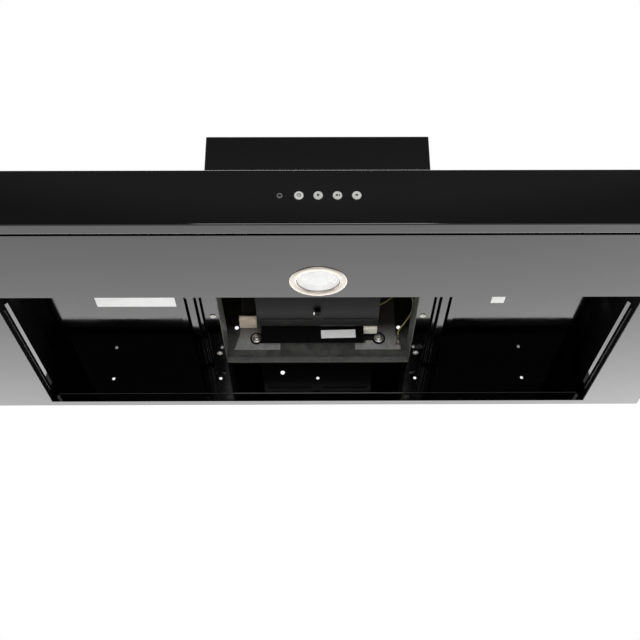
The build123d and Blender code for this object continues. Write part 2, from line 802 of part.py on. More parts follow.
with BuildPart() as lamp_lens:
    with BuildSketch(Plane((0, LAMP_Y, level(1.0)))):
        Circle(LAMP_LENS_R)
    extrude(amount=2.4)
    chamfer(lamp_lens.edges().group_by(Axis.Z)[0], length=0.5)
write_piece(lamp_lens, "lamp_lens")

with BuildPart() as lamp_housing:
    with BuildSketch(Plane((0, LAMP_Y, level(9)))):
        Circle(LAMP_TUBE_R)
    extrude(amount=20)
    fillet(lamp_housing.edges().group_by(Axis.Z)[-1], radius=3)
    with BuildSketch(Plane((0, LAMP_Y, level(9)))):
        Circle(LAMP_LENS_R)
    extrude(amount=17, mode=Mode.SUBTRACT)
write_piece(lamp_housing, "lamp_housing")

with BuildPart() as lamp_board:
    with BuildSketch(Plane((0, LAMP_Y, level(20)))):
        Circle(LAMP_LENS_R - 1)
    extrude(amount=1.6)
    with BuildSketch(Plane((0, LAMP_Y, level(18.6)))):
        with PolarLocations(13, 6):
            Rectangle(4, 4)
    extrude(amount=1.4)
write_piece(lamp_board, "lamp_board")

with BuildPart() as lamp_spring_clips:
    for side in SIDES.values():
        near = side * LAMP_TUBE_R
        with BuildSketch(across(LAMP_Y + 5)):
            with BuildLine():
                Polyline(
                    (near, level(24)),
                    (near + side * 12, level(2)),
                    (near + side * 15, level(4)),
                    (near + side * 14, level(5)),
                    (near + side * 12, level(4)),
                    (near + side * 1, level(25)),
                    (near, level(25)),
                    close=True,
                )
            make_face()
        extrude(amount=10)
write_piece(lamp_spring_clips, "lamp_spring_clips")

# ------------------------------------------------------------------ control panel
BOARD_DEPTH = 17.0
PLUNGER_DEPTH = 12.3
GUIDE_DEPTH = 5.0
BUTTON_NAMES = ("timer_button", "fan_slower_button", "fan_faster_button", "light_button")
BUTTON_PLACES = [(index - 1) * BUTTON_PITCH for index in range(len(BUTTON_NAMES))]


def push_button(x):
    """Round cap with a retaining flange behind the fascia and a stem to its switch."""
    with BuildPart() as button:
        with BuildSketch(across(behind(2.6))):
            with Locations((x, CONTROL_Z)):
                Circle(BUTTON_R)
        extrude(amount=2.6 + BUTTON_OUT)
        fillet(button.edges().group_by(Axis.Y)[0], radius=0.5)
        with BuildSketch(across(behind(2.6))):
            with Locations((x, CONTROL_Z)):
                Circle(BUTTON_R + 1.6)
        extrude(amount=1.2)
        with BuildSketch(across(behind(PLUNGER_DEPTH - BUTTON_OUT - 0.2))):
            with Locations((x, CONTROL_Z)):
                Circle(2.5)
        extrude(amount=PLUNGER_DEPTH - BUTTON_OUT - 2.8)
    return button


for name, x in zip(BUTTON_NAMES, BUTTON_PLACES):
    write_piece(push_button(x), name)

with BuildPart() as indicator_lamp:
    with BuildSketch(across(behind(BOARD_DEPTH))):
        with Locations((-2 * BUTTON_PITCH, CONTROL_Z)):
            Circle(LED_R - 0.3)
    extrude(amount=BOARD_DEPTH + 0.8)
    fillet(indicator_lamp.edges().group_by(Axis.Y)[0], radius=1)
write_piece(indicator_lamp, "indicator_lamp")

with BuildPart() as switch_carrier:
    with BuildSketch(across(behind(20))):
        span(-56, 56, CONTROL_Z - 12, CONTROL_Z + 12)
    extrude(amount=19)
    with BuildSketch(across(behind(20))):
        span(-54.5, 54.5, CONTROL_Z - 10.5, CONTROL_Z + 10.5)
    extrude(amount=20 - GUIDE_DEPTH - 1.5, mode=Mode.SUBTRACT)
    with BuildSketch(across(behind(GUIDE_DEPTH))):
        span(-54.5, 54.5, CONTROL_Z - 10.5, CONTROL_Z + 10.5)
    extrude(amount=GUIDE_DEPTH, mode=Mode.SUBTRACT)
    with BuildSketch(across(behind(GUIDE_DEPTH + 1.5))):
        with Locations(*[(x, CONTROL_Z) for x in BUTTON_PLACES]):
            Circle(2.9)
        with Locations((-2 * BUTTON_PITCH, CONTROL_Z)):
            Circle(LED_R)
    extrude(amount=1.5, mode=Mode.SUBTRACT)
write_piece(switch_carrier, "switch_carrier")

with BuildPart() as switch_board:
    with BuildSketch(across(behind(BOARD_DEPTH + 1.6))):
        span(-54.5, 54.5, CONTROL_Z - 10.5, CONTROL_Z + 10.5)
    extrude(amount=1.6)
write_piece(switch_board, "switch_board")

with BuildPart() as tact_switches:
    for x in BUTTON_PLACES:
        with BuildSketch(across(behind(BOARD_DEPTH))):
            with Locations((x, CONTROL_Z)):
                Rectangle(6, 6)
        extrude(amount=3.5)
        with BuildSketch(across(behind(BOARD_DEPTH - 3.5))):
            with Locations((x, CONTROL_Z)):
                Circle(1.7)
        extrude(amount=BOARD_DEPTH - 3.5 - PLUNGER_DEPTH)
write_piece(tact_switches, "tact_switches")

# ------------------------------------------------------------------ small pieces on the ceiling
with BuildPart() as ceiling_labels:
    with BuildSketch(flat(level(CEILING - 0.3))):
        span(-288, -185, behind(250), behind(303))
        span(225, 242, behind(262), behind(295))
    extrude(amount=0.3)
write_piece(ceiling_labels, "ceiling_labels")

with BuildPart() as cable_grommet:
    with BuildSketch(Plane((143, behind(424), level(CEILING - 2.4)))):
        tube(4.8, 3)
    extrude(amount=2.4)
    fillet(cable_grommet.edges().group_by(Axis.Z)[0], radius=0.7)
write_piece(cable_grommet, "cable_grommet")
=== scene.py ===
"""Looks of a slim gloss black range hood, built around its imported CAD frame."""

import json
import logging
import math
from collections.abc import Callable
from dataclasses import dataclass, field
from enum import Enum

import bmesh
import bpy
from mathutils import Matrix, Vector


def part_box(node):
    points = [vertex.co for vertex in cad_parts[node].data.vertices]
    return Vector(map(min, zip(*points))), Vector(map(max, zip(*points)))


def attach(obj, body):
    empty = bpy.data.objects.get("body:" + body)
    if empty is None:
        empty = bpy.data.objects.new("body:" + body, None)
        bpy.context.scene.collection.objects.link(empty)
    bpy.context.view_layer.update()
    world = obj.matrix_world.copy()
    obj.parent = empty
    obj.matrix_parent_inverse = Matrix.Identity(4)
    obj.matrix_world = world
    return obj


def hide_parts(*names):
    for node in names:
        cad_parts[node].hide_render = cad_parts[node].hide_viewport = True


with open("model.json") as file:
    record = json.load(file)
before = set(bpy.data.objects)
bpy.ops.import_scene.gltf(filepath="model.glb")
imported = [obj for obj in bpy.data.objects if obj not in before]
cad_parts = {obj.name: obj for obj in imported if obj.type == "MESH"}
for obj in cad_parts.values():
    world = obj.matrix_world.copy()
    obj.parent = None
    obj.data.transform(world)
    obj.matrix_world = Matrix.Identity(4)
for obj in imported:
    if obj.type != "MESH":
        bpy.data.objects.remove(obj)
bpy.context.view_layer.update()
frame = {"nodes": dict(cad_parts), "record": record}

MM = 0.001
LOG = logging.getLogger("range_hood")


# ---------------------------------------------------------------- colour and node helpers
def linear(code: str) -> tuple[float, float, float, float]:
    """Turn an sRGB hex colour into the linear colour that shaders use.

    Args:
        code: Six hex digits, with or without a leading hash.

    Returns:
        Red, green, blue and an alpha of one.
    """
    digits = code.lstrip("#")
    channels = [int(digits[i : i + 2], 16) / 255 for i in (0, 2, 4)]
    curve = [c / 12.92 if c <= 0.04045 else ((c + 0.055) / 1.055) ** 2.4 for c in channels]
    return (curve[0], curve[1], curve[2], 1.0)


def add_node(tree: bpy.types.NodeTree, kind: str, settings: dict, links: dict | None = None) -> bpy.types.Node:
    """Add one node with its settings and its incoming links.

    Args:
        tree: Node tree that receives the node.
        kind: Blender's identifier of the node.
        settings: Attribute names or input names with their values.
        links: Input names or numbers with the output sockets that feed them.

    Returns:
        The new node.
    """
    node = tree.nodes.new(kind)
    for name, value in settings.items():
        if hasattr(node, name):
            setattr(node, name, value)
        else:
            node.inputs[name].default_value = value
    for name, socket in (links or {}).items():
        tree.links.new(socket, node.inputs[name])
    return node


def set_ramp(node: bpy.types.Node, stops: list[tuple[float, tuple[float, float, float, float]]]) -> None:
    """Give a colour ramp its stops.

    Args:
        node: Colour ramp node.
        stops: Position and colour of each stop, in order.
    """
    elements = node.color_ramp.elements
    while len(elements) < len(stops):
        elements.new(0.5)
    for element, (position, colour) in zip(elements, stops):
        element.position = position
        element.color = colour


def grey(value: float) -> tuple[float, float, float, float]:
    """Return a linear grey."""
    return (value, value, value, 1.0)


def tinted(code: str, factor: float) -> tuple[float, float, float, float]:
    """Return a hex colour in linear form, scaled in brightness."""
    base = linear(code)
    return tuple(min(1.0, c * factor) for c in base[:3]) + (1.0,)


def new_material(name: str) -> tuple[bpy.types.Material, bpy.types.NodeTree, bpy.types.Node]:
    """Start a material with its own principled shader.

    Args:
        name: Name of the real material.

    Returns:
        The material, its node tree and its principled shader.
    """
    material = bpy.data.materials.new(name)
    material.use_nodes = True
    tree = material.node_tree
    return material, tree, tree.nodes["Principled BSDF"]


# ---------------------------------------------------------------- finishes
@dataclass(frozen=True)
class GlossEnamel:
    """Black baked enamel on steel sheet: a deep, wet-looking film with a trace of orange peel."""

    name: str = "black_baked_enamel"
    colour: str = "#010101"
    roughness: float = 0.06
    peel_mm: float = 9.0
    ior: float = 1.52

    def material(self) -> bpy.types.Material:
        """Build the enamel's material."""
        material, tree, shader = new_material(self.name)
        shader.inputs["Base Color"].default_value = linear(self.colour)
        shader.inputs["IOR"].default_value = self.ior
        place = add_node(tree, "ShaderNodeTexCoord", {})
        # Dust and cleaning marks: they show only as a slightly duller gloss.
        haze = add_node(tree, "ShaderNodeTexNoise", {"Scale": 14.0, "Detail": 4.0}, {"Vector": place.outputs["Object"]})
        gloss = add_node(
            tree,
            "ShaderNodeMapRange",
            {"From Min": 0.3, "From Max": 0.75, "To Min": self.roughness * 0.75, "To Max": self.roughness * 1.5},
            {"Value": haze.outputs["Fac"]},
        )
        tree.links.new(gloss.outputs["Result"], shader.inputs["Roughness"])
        # Orange peel: waves of about a centimetre, drawn shallow.
        peel = add_node(
            tree, "ShaderNodeTexNoise", {"Scale": 1 / (self.peel_mm * MM), "Detail": 1.0}, {"Vector": place.outputs["Object"]}
        )
        bump = add_node(
            tree, "ShaderNodeBump", {"Strength": 0.05, "Distance": 0.0002}, {"Height": peel.outputs["Fac"]}
        )
        tree.links.new(bump.outputs["Normal"], shader.inputs["Normal"])
        return material


@dataclass(frozen=True)
class GalvanisedSteel:
    """Hot-dip galvanised sheet: dull zinc with angular spangles that differ in tone."""

    name: str = "galvanised_steel_sheet"
    colour_dark: str = "#8d9088"
    colour_light: str = "#b3b5ab"
    spangle_mm: float = 9.0
    roughness: float = 0.42
    metallic: float = 0.75
    # Painted shade: between these heights the zinc darkens towards the top, down to the last brightness given.
    shade_from: float = -0.022
    shade_to: float = 0.006
    shade_dark: float = 1.0

    def material(self) -> bpy.types.Material:
        """Build the zinc's material."""
        material, tree, shader = new_material(self.name)
        shader.inputs["Metallic"].default_value = self.metallic
        place = add_node(tree, "ShaderNodeTexCoord", {})
        cells = add_node(
            tree, "ShaderNodeTexVoronoi", {"Scale": 1 / (self.spangle_mm * MM)}, {"Vector": place.outputs["Object"]}
        )
        tone = add_node(tree, "ShaderNodeValToRGB", {}, {"Fac": cells.outputs["Color"]})
        set_ramp(tone, [(0.1, linear(self.colour_dark)), (0.9, linear(self.colour_light))])
        # Painted shade: the colour darkens, with a warm cast, towards the top of the blower's box, where less light
        # reaches.
        height = add_node(tree, "ShaderNodeSeparateXYZ", {}, {"Vector": place.outputs["Object"]})
        rise = add_node(
            tree,
            "ShaderNodeMapRange",
            {"From Min": self.shade_from, "From Max": self.shade_to, "To Min": 0.0, "To Max": 1.0},
            {"Value": height.outputs["Z"]},
        )
        painted_shade = add_node(tree, "ShaderNodeValToRGB", {}, {"Fac": rise.outputs["Result"]})
        set_ramp(painted_shade, [(0.0, grey(1.0)), (1.0, tuple(self.shade_dark * c for c in (1.0, 0.92, 0.8)) + (1.0,))])
        shaded = add_node(
            tree,
            "ShaderNodeMix",
            {"data_type": "RGBA", "blend_type": "MULTIPLY"},
            {6: tone.outputs["Color"], 7: painted_shade.outputs["Color"]},
        )
        shaded.inputs[0].default_value = 1.0
        tree.links.new(shaded.outputs[2], shader.inputs["Base Color"])
        frost = add_node(
            tree,
            "ShaderNodeMapRange",
            {"To Min": self.roughness - 0.08, "To Max": self.roughness + 0.12},
            {"Value": cells.outputs["Color"]},
        )
        tree.links.new(frost.outputs["Result"], shader.inputs["Roughness"])
        return material


@dataclass(frozen=True)
class TurnedMetal:
    """Plated or bare metal with fine machining or brushing marks."""

    name: str
    colour: str
    roughness: float
    grain_mm: float = 0.6
    metallic: float = 1.0

    def material(self) -> bpy.types.Material:
        """Build the metal's material."""
        material, tree, shader = new_material(self.name)
        shader.inputs["Metallic"].default_value = self.metallic
        place = add_node(tree, "ShaderNodeTexCoord", {})
        # Handling and plating leave patches a few millimetres wide that differ a little in tone.
        patches = add_node(tree, "ShaderNodeTexNoise", {"Scale": 180.0, "Detail": 2.0}, {"Vector": place.outputs["Object"]})
        tone = add_node(tree, "ShaderNodeValToRGB", {}, {"Fac": patches.outputs["Fac"]})
        set_ramp(tone, [(0.3, tinted(self.colour, 0.9)), (0.7, tinted(self.colour, 1.05))])
        tree.links.new(tone.outputs["Color"], shader.inputs["Base Color"])
        grain = add_node(
            tree,
            "ShaderNodeTexNoise",
            {"Scale": 1 / (self.grain_mm * MM), "Detail": 3.0},
            {"Vector": place.outputs["Object"]},
        )
        spread = add_node(
            tree,
            "ShaderNodeMapRange",
            {"From Min": 0.3, "From Max": 0.7, "To Min": self.roughness * 0.7, "To Max": self.roughness * 1.35},
            {"Value": grain.outputs["Fac"]},
        )
        tree.links.new(spread.outputs["Result"], shader.inputs["Roughness"])
        bump = add_node(
            tree, "ShaderNodeBump", {"Strength": 0.12, "Distance": 0.00005}, {"Height": grain.outputs["Fac"]}
        )
        tree.links.new(bump.outputs["Normal"], shader.inputs["Normal"])
        return material


@dataclass(frozen=True)
class MouldedPlastic:
    """Injection-moulded plastic with a fine spark-eroded grain and slight tone variation."""

    name: str
    colour: str
    roughness: float
    grain_mm: float = 0.7
    grain_depth: float = 0.1
    ior: float = 1.49
    variation: float = 0.12

    def material(self) -> bpy.types.Material:
        """Build the plastic's material."""
        material, tree, shader = new_material(self.name)
        shader.inputs["IOR"].default_value = self.ior
        place = add_node(tree, "ShaderNodeTexCoord", {})
        cloud = add_node(tree, "ShaderNodeTexNoise", {"Scale": 60.0, "Detail": 3.0}, {"Vector": place.outputs["Object"]})
        tone = add_node(tree, "ShaderNodeValToRGB", {}, {"Fac": cloud.outputs["Fac"]})
        set_ramp(
            tone,
            [(0.3, tinted(self.colour, 1 - self.variation)), (0.7, tinted(self.colour, 1 + self.variation))],
        )
        tree.links.new(tone.outputs["Color"], shader.inputs["Base Color"])
        grain = add_node(
            tree,
            "ShaderNodeTexNoise",
            {"Scale": 1 / (self.grain_mm * MM), "Detail": 2.0},
            {"Vector": place.outputs["Object"]},
        )
        spread = add_node(
            tree,
            "ShaderNodeMapRange",
            {"From Min": 0.3, "From Max": 0.7, "To Min": self.roughness * 0.85, "To Max": self.roughness * 1.15},
            {"Value": grain.outputs["Fac"]},
        )
        tree.links.new(spread.outputs["Result"], shader.inputs["Roughness"])
        bump = add_node(
            tree,
            "ShaderNodeBump",
            {"Strength": self.grain_depth, "Distance": 0.0001},
            {"Height": grain.outputs["Fac"]},
        )
        tree.links.new(bump.outputs["Normal"], shader.inputs["Normal"])
        return material


@dataclass(frozen=True)
class WireCover:
    """Soft PVC cover of an earth wire: yellow with a lengthwise green stripe."""

    name: str = "yellow_green_pvc"
    yellow: str = "#a89f62"
    green: str = "#566a3c"
    roughness: float = 0.4

    def material(self) -> bpy.types.Material:
        """Build the cover's material. The stripe follows the wire on its own UV map."""
        material, tree, shader = new_material(self.name)
        shader.inputs["Roughness"].default_value = self.roughness
        shader.inputs["IOR"].default_value = 1.53
        around = add_node(tree, "ShaderNodeUVMap", {"uv_map": "along_wire"})
        parts = add_node(tree, "ShaderNodeSeparateXYZ", {}, {"Vector": around.outputs["UV"]})
        stripe = add_node(tree, "ShaderNodeValToRGB", {}, {"Fac": parts.outputs["X"]})
        stripe.color_ramp.interpolation = "CONSTANT"
        set_ramp(stripe, [(0.0, linear(self.yellow)), (0.34, linear(self.green)), (0.66, linear(self.yellow))])
        tree.links.new(stripe.outputs["Color"], shader.inputs["Base Color"])
        return material


@dataclass(frozen=True)
class DullEnamel(GlossEnamel):
    """The same black enamel where the spray only dusts it, deep inside the channels: satin and sooty."""

    name: str = "dusted_black_enamel"
    roughness: float = 0.7
    ior: float = 1.1


class FinishName(Enum):
    """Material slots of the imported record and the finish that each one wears."""

    GLOSS_BLACK_ENAMEL = "gloss_black_enamel"
    GALVANISED_STEEL = "galvanised_steel"
    BRIGHT_ZINC = "bright_zinc"
    NICKEL_SCREW = "nickel_screw"
    SATIN_NICKEL = "satin_nickel"
    BLACK_PLASTIC = "black_plastic"
    GREY_PLASTIC = "grey_plastic"
    WHITE_PLASTIC = "white_plastic"
    BEIGE_PLASTIC = "beige_plastic"
    FROSTED_LENS = "frosted_lens"
    DARK_LENS = "dark_lens"
    BLANK_LABEL = "blank_label"
    BUTTON_SILVER = "button_silver"
    CIRCUIT_BOARD = "circuit_board"
    MOTOR_STEEL = "motor_steel"
    ALUMINIUM_SHEET = "aluminium_sheet"
    EARTH_WIRE_COVER = "earth_wire_cover"
    SPRING_STEEL = "spring_steel"
    BLACK_RUBBER = "black_rubber"
    DULL_ENAMEL = "dusted_black_enamel"
    WORN_ZINC = "worn_zinc_edging"
    PILOT_RIM = "pilot_rim"
    FILMED_ZINC = "filmed_zinc"


RECIPES = {
    FinishName.GLOSS_BLACK_ENAMEL: GlossEnamel(),
    FinishName.GALVANISED_STEEL: GalvanisedSteel(),
    # Electroplated zinc: paler and more even than the hot-dip sheet, with a strong painted shade towards the top of the
    # box.
    FinishName.BRIGHT_ZINC: GalvanisedSteel(
        "bright_zinc_plated_steel", "#a3a5a2", "#b5b6b3", spangle_mm=4.0, roughness=0.5, metallic=0.5, shade_dark=0.1
    ),
    # Bright nickel plate: mirror-like, a little warm.
    FinishName.NICKEL_SCREW: TurnedMetal("nickel_plated_steel", "#d8d5ce", 0.33, metallic=0.85),
    # Satin nickel: a soft, creamy sheen.
    FinishName.SATIN_NICKEL: TurnedMetal("satin_nickel", "#bcb5ac", 0.45),
    FinishName.BLACK_PLASTIC: MouldedPlastic("black_abs", "#080808", 0.42, ior=1.33),
    FinishName.GREY_PLASTIC: MouldedPlastic("dark_grey_print", "#2c2c2c", 0.5),
    FinishName.WHITE_PLASTIC: MouldedPlastic("natural_nylon", "#efe9dc", 0.45),
    FinishName.BEIGE_PLASTIC: MouldedPlastic("beige_nylon", "#ead9c6", 0.45),
    FinishName.FROSTED_LENS: MouldedPlastic("frosted_polycarbonate", "#e9e9e9", 0.4, variation=0.03),
    FinishName.DARK_LENS: MouldedPlastic("smoked_polycarbonate", "#1b1b20", 0.12, ior=1.58),
    FinishName.BLANK_LABEL: MouldedPlastic("white_paper_label", "#fdfdfd", 0.6, grain_depth=0.03, variation=0.03),
    FinishName.BUTTON_SILVER: MouldedPlastic("silver_painted_abs", "#b2b2ae", 0.35),
    FinishName.CIRCUIT_BOARD: MouldedPlastic("green_solder_mask", "#1e5a31", 0.35),
    FinishName.MOTOR_STEEL: TurnedMetal("motor_case_steel", "#8f9092", 0.4),
    FinishName.ALUMINIUM_SHEET: TurnedMetal("mill_aluminium", "#c9cacc", 0.35),
    FinishName.EARTH_WIRE_COVER: WireCover(),
    FinishName.SPRING_STEEL: TurnedMetal("spring_steel", "#a3a29d", 0.3),
    FinishName.BLACK_RUBBER: MouldedPlastic("black_rubber", "#1a1a1a", 0.7),
    FinishName.DULL_ENAMEL: DullEnamel(),
    # Inside the blower's box the zinc is painted darker, with a strong painted shade towards the top, for the shade
    # deep in the box.
    FinishName.FILMED_ZINC: GalvanisedSteel("shaded_galvanised_steel", "#6a6c65", "#7d7f77", shade_dark=0.1),
    FinishName.PILOT_RIM: MouldedPlastic("tinted_pilot_rim", "#5f5f5c", 0.3),
    # The port's edging is painted a darker grey for the shade that falls on it, but its rounded edges still catch the
    # light.
    FinishName.WORN_ZINC: GalvanisedSteel(
        "painted_shade_zinc_edging", "#70716d", "#7d7d79", spangle_mm=5.0, roughness=0.48, metallic=0.6
    ),
}


@dataclass
class Wardrobe:
    """Makes each finish once and dresses pieces in it."""

    made: dict[FinishName, bpy.types.Material] = field(default_factory=dict)

    def finish(self, name: FinishName) -> bpy.types.Material:
        """Return the material of a finish, building it on first use."""
        if name not in self.made:
            self.made[name] = RECIPES[name].material()
        return self.made[name]

    def dress(self, piece: bpy.types.Object, name: FinishName) -> None:
        """Give a piece one finish all over.

        Args:
            piece: Mesh object to dress.
            name: Finish that it wears.
        """
        piece.data.materials.clear()
        piece.data.materials.append(self.finish(name))
        for face in piece.data.polygons:
            face.material_index = 0

    def dress_faces(self, piece: bpy.types.Object, name: FinishName, pick: Callable[[Vector], bool]) -> None:
        """Give some faces of a piece a finish of their own.

        Args:
            piece: Mesh object, already dressed.
            name: Finish of those faces.
            pick: Test on each face's normal.
        """
        piece.data.materials.append(self.finish(name))
        last = len(piece.data.materials) - 1
        for face in piece.data.polygons:
            if pick(face.normal):
                face.material_index = last

    def dress_frame(self) -> None:
        """Dress every node of the frame in the finish of its material slot."""
        for node, piece in frame["nodes"].items():
            self.dress(piece, FinishName(SLOTS[node]))


SLOTS = {row["node"]: row["material_slot"] for row in frame["record"]["subparts"]}
BODY_OF = {node: body for body, nodes in frame["record"]["behaviour"]["bodies"].items() for node in nodes}


# ---------------------------------------------------------------- modelling bench
class Facing(Enum):
    """Which way a turned piece points, as the turn that lays its axis there from straight up."""

    UP = (0.0, 0.0, 0.0)
    DOWN = (math.pi, 0.0, 0.0)
    FRONT = (math.pi / 2, 0.0, 0.0)
    BACK = (-math.pi / 2, 0.0, 0.0)


Pick = Callable[[bmesh.types.BMFace], bool]


class Bench:
    """Modelling moves that work on one mesh at a time."""

    @staticmethod
    def clear() -> None:
        """Leave edit mode and deselect everything."""
        if bpy.context.object is not None and bpy.context.object.mode == "EDIT":
            bpy.ops.object.mode_set(mode="OBJECT")
        bpy.ops.object.select_all(action="DESELECT")

    @staticmethod
    def name(name: str) -> bpy.types.Object:
        """Name the piece on the bench, leave edit mode and return it."""
        if bpy.context.object.mode == "EDIT":
            bpy.ops.object.mode_set(mode="OBJECT")
        piece = bpy.context.object
        piece.name = name
        piece.data.name = name
        return piece

    @staticmethod
    def edit() -> None:
        """Enter edit mode with everything selected."""
        bpy.ops.object.mode_set(mode="EDIT")
        bpy.ops.mesh.select_all(action="SELECT")

    @staticmethod
    def pick_faces(pick: Pick) -> None:
        """Select the faces of the mesh in edit mode that a test picks.

        Args:
            pick: Test on each face.
        """
        bpy.ops.mesh.select_mode(type="FACE")
        bpy.ops.mesh.select_all(action="DESELECT")
        mesh = bpy.context.object.data
        work = bmesh.from_edit_mesh(mesh)
        for face in work.faces:
            face.select_set(pick(face))
        bmesh.update_edit_mesh(mesh)

    @staticmethod
    def settle(piece: bpy.types.Object, angle: float = 35.0) -> None:
        """Apply a piece's place and turn, and shade it smooth except at its edges.

        Args:
            piece: The piece.
            angle: Angle in degrees above which an edge stays sharp.
        """
        Bench.clear()
        bpy.context.view_layer.objects.active = piece
        piece.select_set(True)
        bpy.ops.object.transform_apply(location=True, rotation=True, scale=True)
        bpy.ops.object.shade_smooth_by_angle(angle=math.radians(angle))

    @staticmethod
    def soften(piece: bpy.types.Object, width_mm: float, segments: int = 2, angle: float = 35.0) -> None:
        """Round a piece's sharp edges with a bevel that is applied at once.

        Args:
            piece: The piece.
            width_mm: Width of the rounding.
            segments: Steps across it.
            angle: Angle in degrees above which an edge is rounded.
        """
        bpy.context.view_layer.objects.active = piece
        bevel = piece.modifiers.new("edges", "BEVEL")
        bevel.width = width_mm * MM
        bevel.segments = segments
        bevel.limit_method = "ANGLE"
        bevel.angle_limit = math.radians(angle)
        bpy.ops.object.modifier_apply(modifier=bevel.name)

    @staticmethod
    def flatten_faces(piece: bpy.types.Object) -> None:
        """Let a piece's big flat faces set the shading of the roundings beside them."""
        bpy.context.view_layer.objects.active = piece
        weigh = piece.modifiers.new("normals", "WEIGHTED_NORMAL")
        weigh.keep_sharp = True
        bpy.ops.object.modifier_apply(modifier=weigh.name)

    @staticmethod
    def turned(
        name: str,
        profile: list[tuple[float, float]],
        centre: tuple[float, float, float],
        facing: Facing,
        steps: int = 48,
        closed: bool = False,
    ) -> bpy.types.Object:
        """Turn a round piece: a circle drawn out and widened or narrowed ring by ring.

        Args:
            name: Name of the piece.
            profile: Radius and height of each ring in millimetres, along the axis. A last radius of zero closes it.
            centre: Where the axis starts, in metres.
            facing: Which way the axis points.
            steps: Faces round the piece.
            closed: Whether the last ring joins the first, for a ring-shaped piece.

        Returns:
            The piece, in place.
        """
        Bench.clear()
        radius, height = profile[0]
        bpy.ops.mesh.primitive_circle_add(vertices=steps, radius=radius * MM, location=(0, 0, 0))
        Bench.edit()
        bpy.ops.transform.translate(value=(0, 0, height * MM))
        if not closed:
            bpy.ops.mesh.edge_face_add()
            bpy.ops.mesh.select_mode(type="EDGE")
        rings = profile[1:] + ([profile[0]] if closed else [])
        for new_radius, new_height in rings:
            rise = (0, 0, (new_height - height) * MM)
            bpy.ops.mesh.extrude_edges_move(TRANSFORM_OT_translate={"value": rise})
            factor = new_radius / radius if radius else 1.0
            if new_radius == 0:
                bpy.ops.mesh.merge(type="CENTER")
                break
            bpy.ops.transform.resize(value=(factor, factor, 1.0), center_override=(0, 0, new_height * MM))
            radius, height = new_radius, new_height
        bpy.ops.mesh.select_all(action="SELECT")
        bpy.ops.mesh.remove_doubles(threshold=1e-6)
        bpy.ops.mesh.normals_make_consistent(inside=False)
        piece = Bench.name(name)
        piece.rotation_euler = facing.value
        piece.location = centre
        Bench.settle(piece)
        return piece

    @staticmethod
    def block(
        name: str, low: tuple[float, float, float], high: tuple[float, float, float], round_mm: float = 0.3
    ) -> bpy.types.Object:
        """Cut a block between two corners with rounded edges.

        Args:
            name: Name of the piece.
            low: Lowest corner, in metres.
            high: Highest corner, in metres.
            round_mm: Width of the edge rounding.

        Returns:
            The piece, in place.
        """
        Bench.clear()
        centre = [(a + b) / 2 for a, b in zip(low, high)]
        size = [b - a for a, b in zip(low, high)]
        bpy.ops.mesh.primitive_cube_add(size=1.0, location=centre, scale=size)
        bpy.ops.object.transform_apply(location=True, rotation=True, scale=True)
        Bench.edit()
        bpy.ops.mesh.bevel(offset=round_mm * MM, segments=2, affect="EDGES")
        piece = Bench.name(name)
        Bench.settle(piece, 50)
        Bench.flatten_faces(piece)
        return piece

    @staticmethod
    def press(piece: bpy.types.Object, pick: Pick, inset_mm: float, depth_mm: float, apart: bool = False) -> None:
        """Inset the picked faces of a piece and sink them, or raise them when the depth is negative.

        Args:
            piece: The piece.
            pick: Test that picks the faces.
            inset_mm: Width of the rim left round them.
            depth_mm: How deep they go.
            apart: Whether each face gets a rim of its own.
        """
        Bench.clear()
        bpy.context.view_layer.objects.active = piece
        piece.select_set(True)
        bpy.ops.object.mode_set(mode="EDIT")
        Bench.pick_faces(pick)
        bpy.ops.mesh.inset(thickness=inset_mm * MM, depth=-depth_mm * MM, use_individual=apart)
        bpy.ops.object.mode_set(mode="OBJECT")

    @staticmethod
    def cut(piece: bpy.types.Object, cutter: bpy.types.Object) -> None:
        """Cut one piece out of another, and remove the cutter.

        Args:
            piece: The piece that is cut.
            cutter: The shape taken out of it.
        """
        Bench.clear()
        bpy.context.view_layer.objects.active = piece
        knife = piece.modifiers.new("cut", "BOOLEAN")
        knife.operation = "DIFFERENCE"
        knife.solver = "EXACT"
        knife.object = cutter
        bpy.ops.object.modifier_apply(modifier=knife.name)
        bpy.data.objects.remove(cutter)

    @staticmethod
    def join(name: str, parts: list[bpy.types.Object]) -> bpy.types.Object:
        """Join several shapes into one piece.

        Args:
            name: Name of the piece.
            parts: Shapes to join.

        Returns:
            The joined piece.
        """
        Bench.clear()
        for part in parts:
            part.select_set(True)
        bpy.context.view_layer.objects.active = parts[0]
        if len(parts) > 1:
            bpy.ops.object.join()
        return Bench.name(name)

    @staticmethod
    def finish(
        piece: bpy.types.Object, wardrobe: Wardrobe, finish: FinishName, body: str, *nodes: str
    ) -> bpy.types.Object:
        """Dress a piece, hang it on its body and let it stand for its CAD nodes.

        Args:
            piece: The piece.
            wardrobe: Holds the finishes.
            finish: Finish that the piece wears.
            body: CAD body that it rides on.
            nodes: CAD nodes that it stands for.

        Returns:
            The piece.
        """
        wardrobe.dress(piece, finish)
        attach(piece, body)
        if nodes:
            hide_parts(*nodes)
        LOG.info("%s wears %s", piece.name, finish.value)
        return piece


def middle(node: str) -> Vector:
    """Return the middle of a CAD node's box."""
    low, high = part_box(node)
    return (low + high) / 2


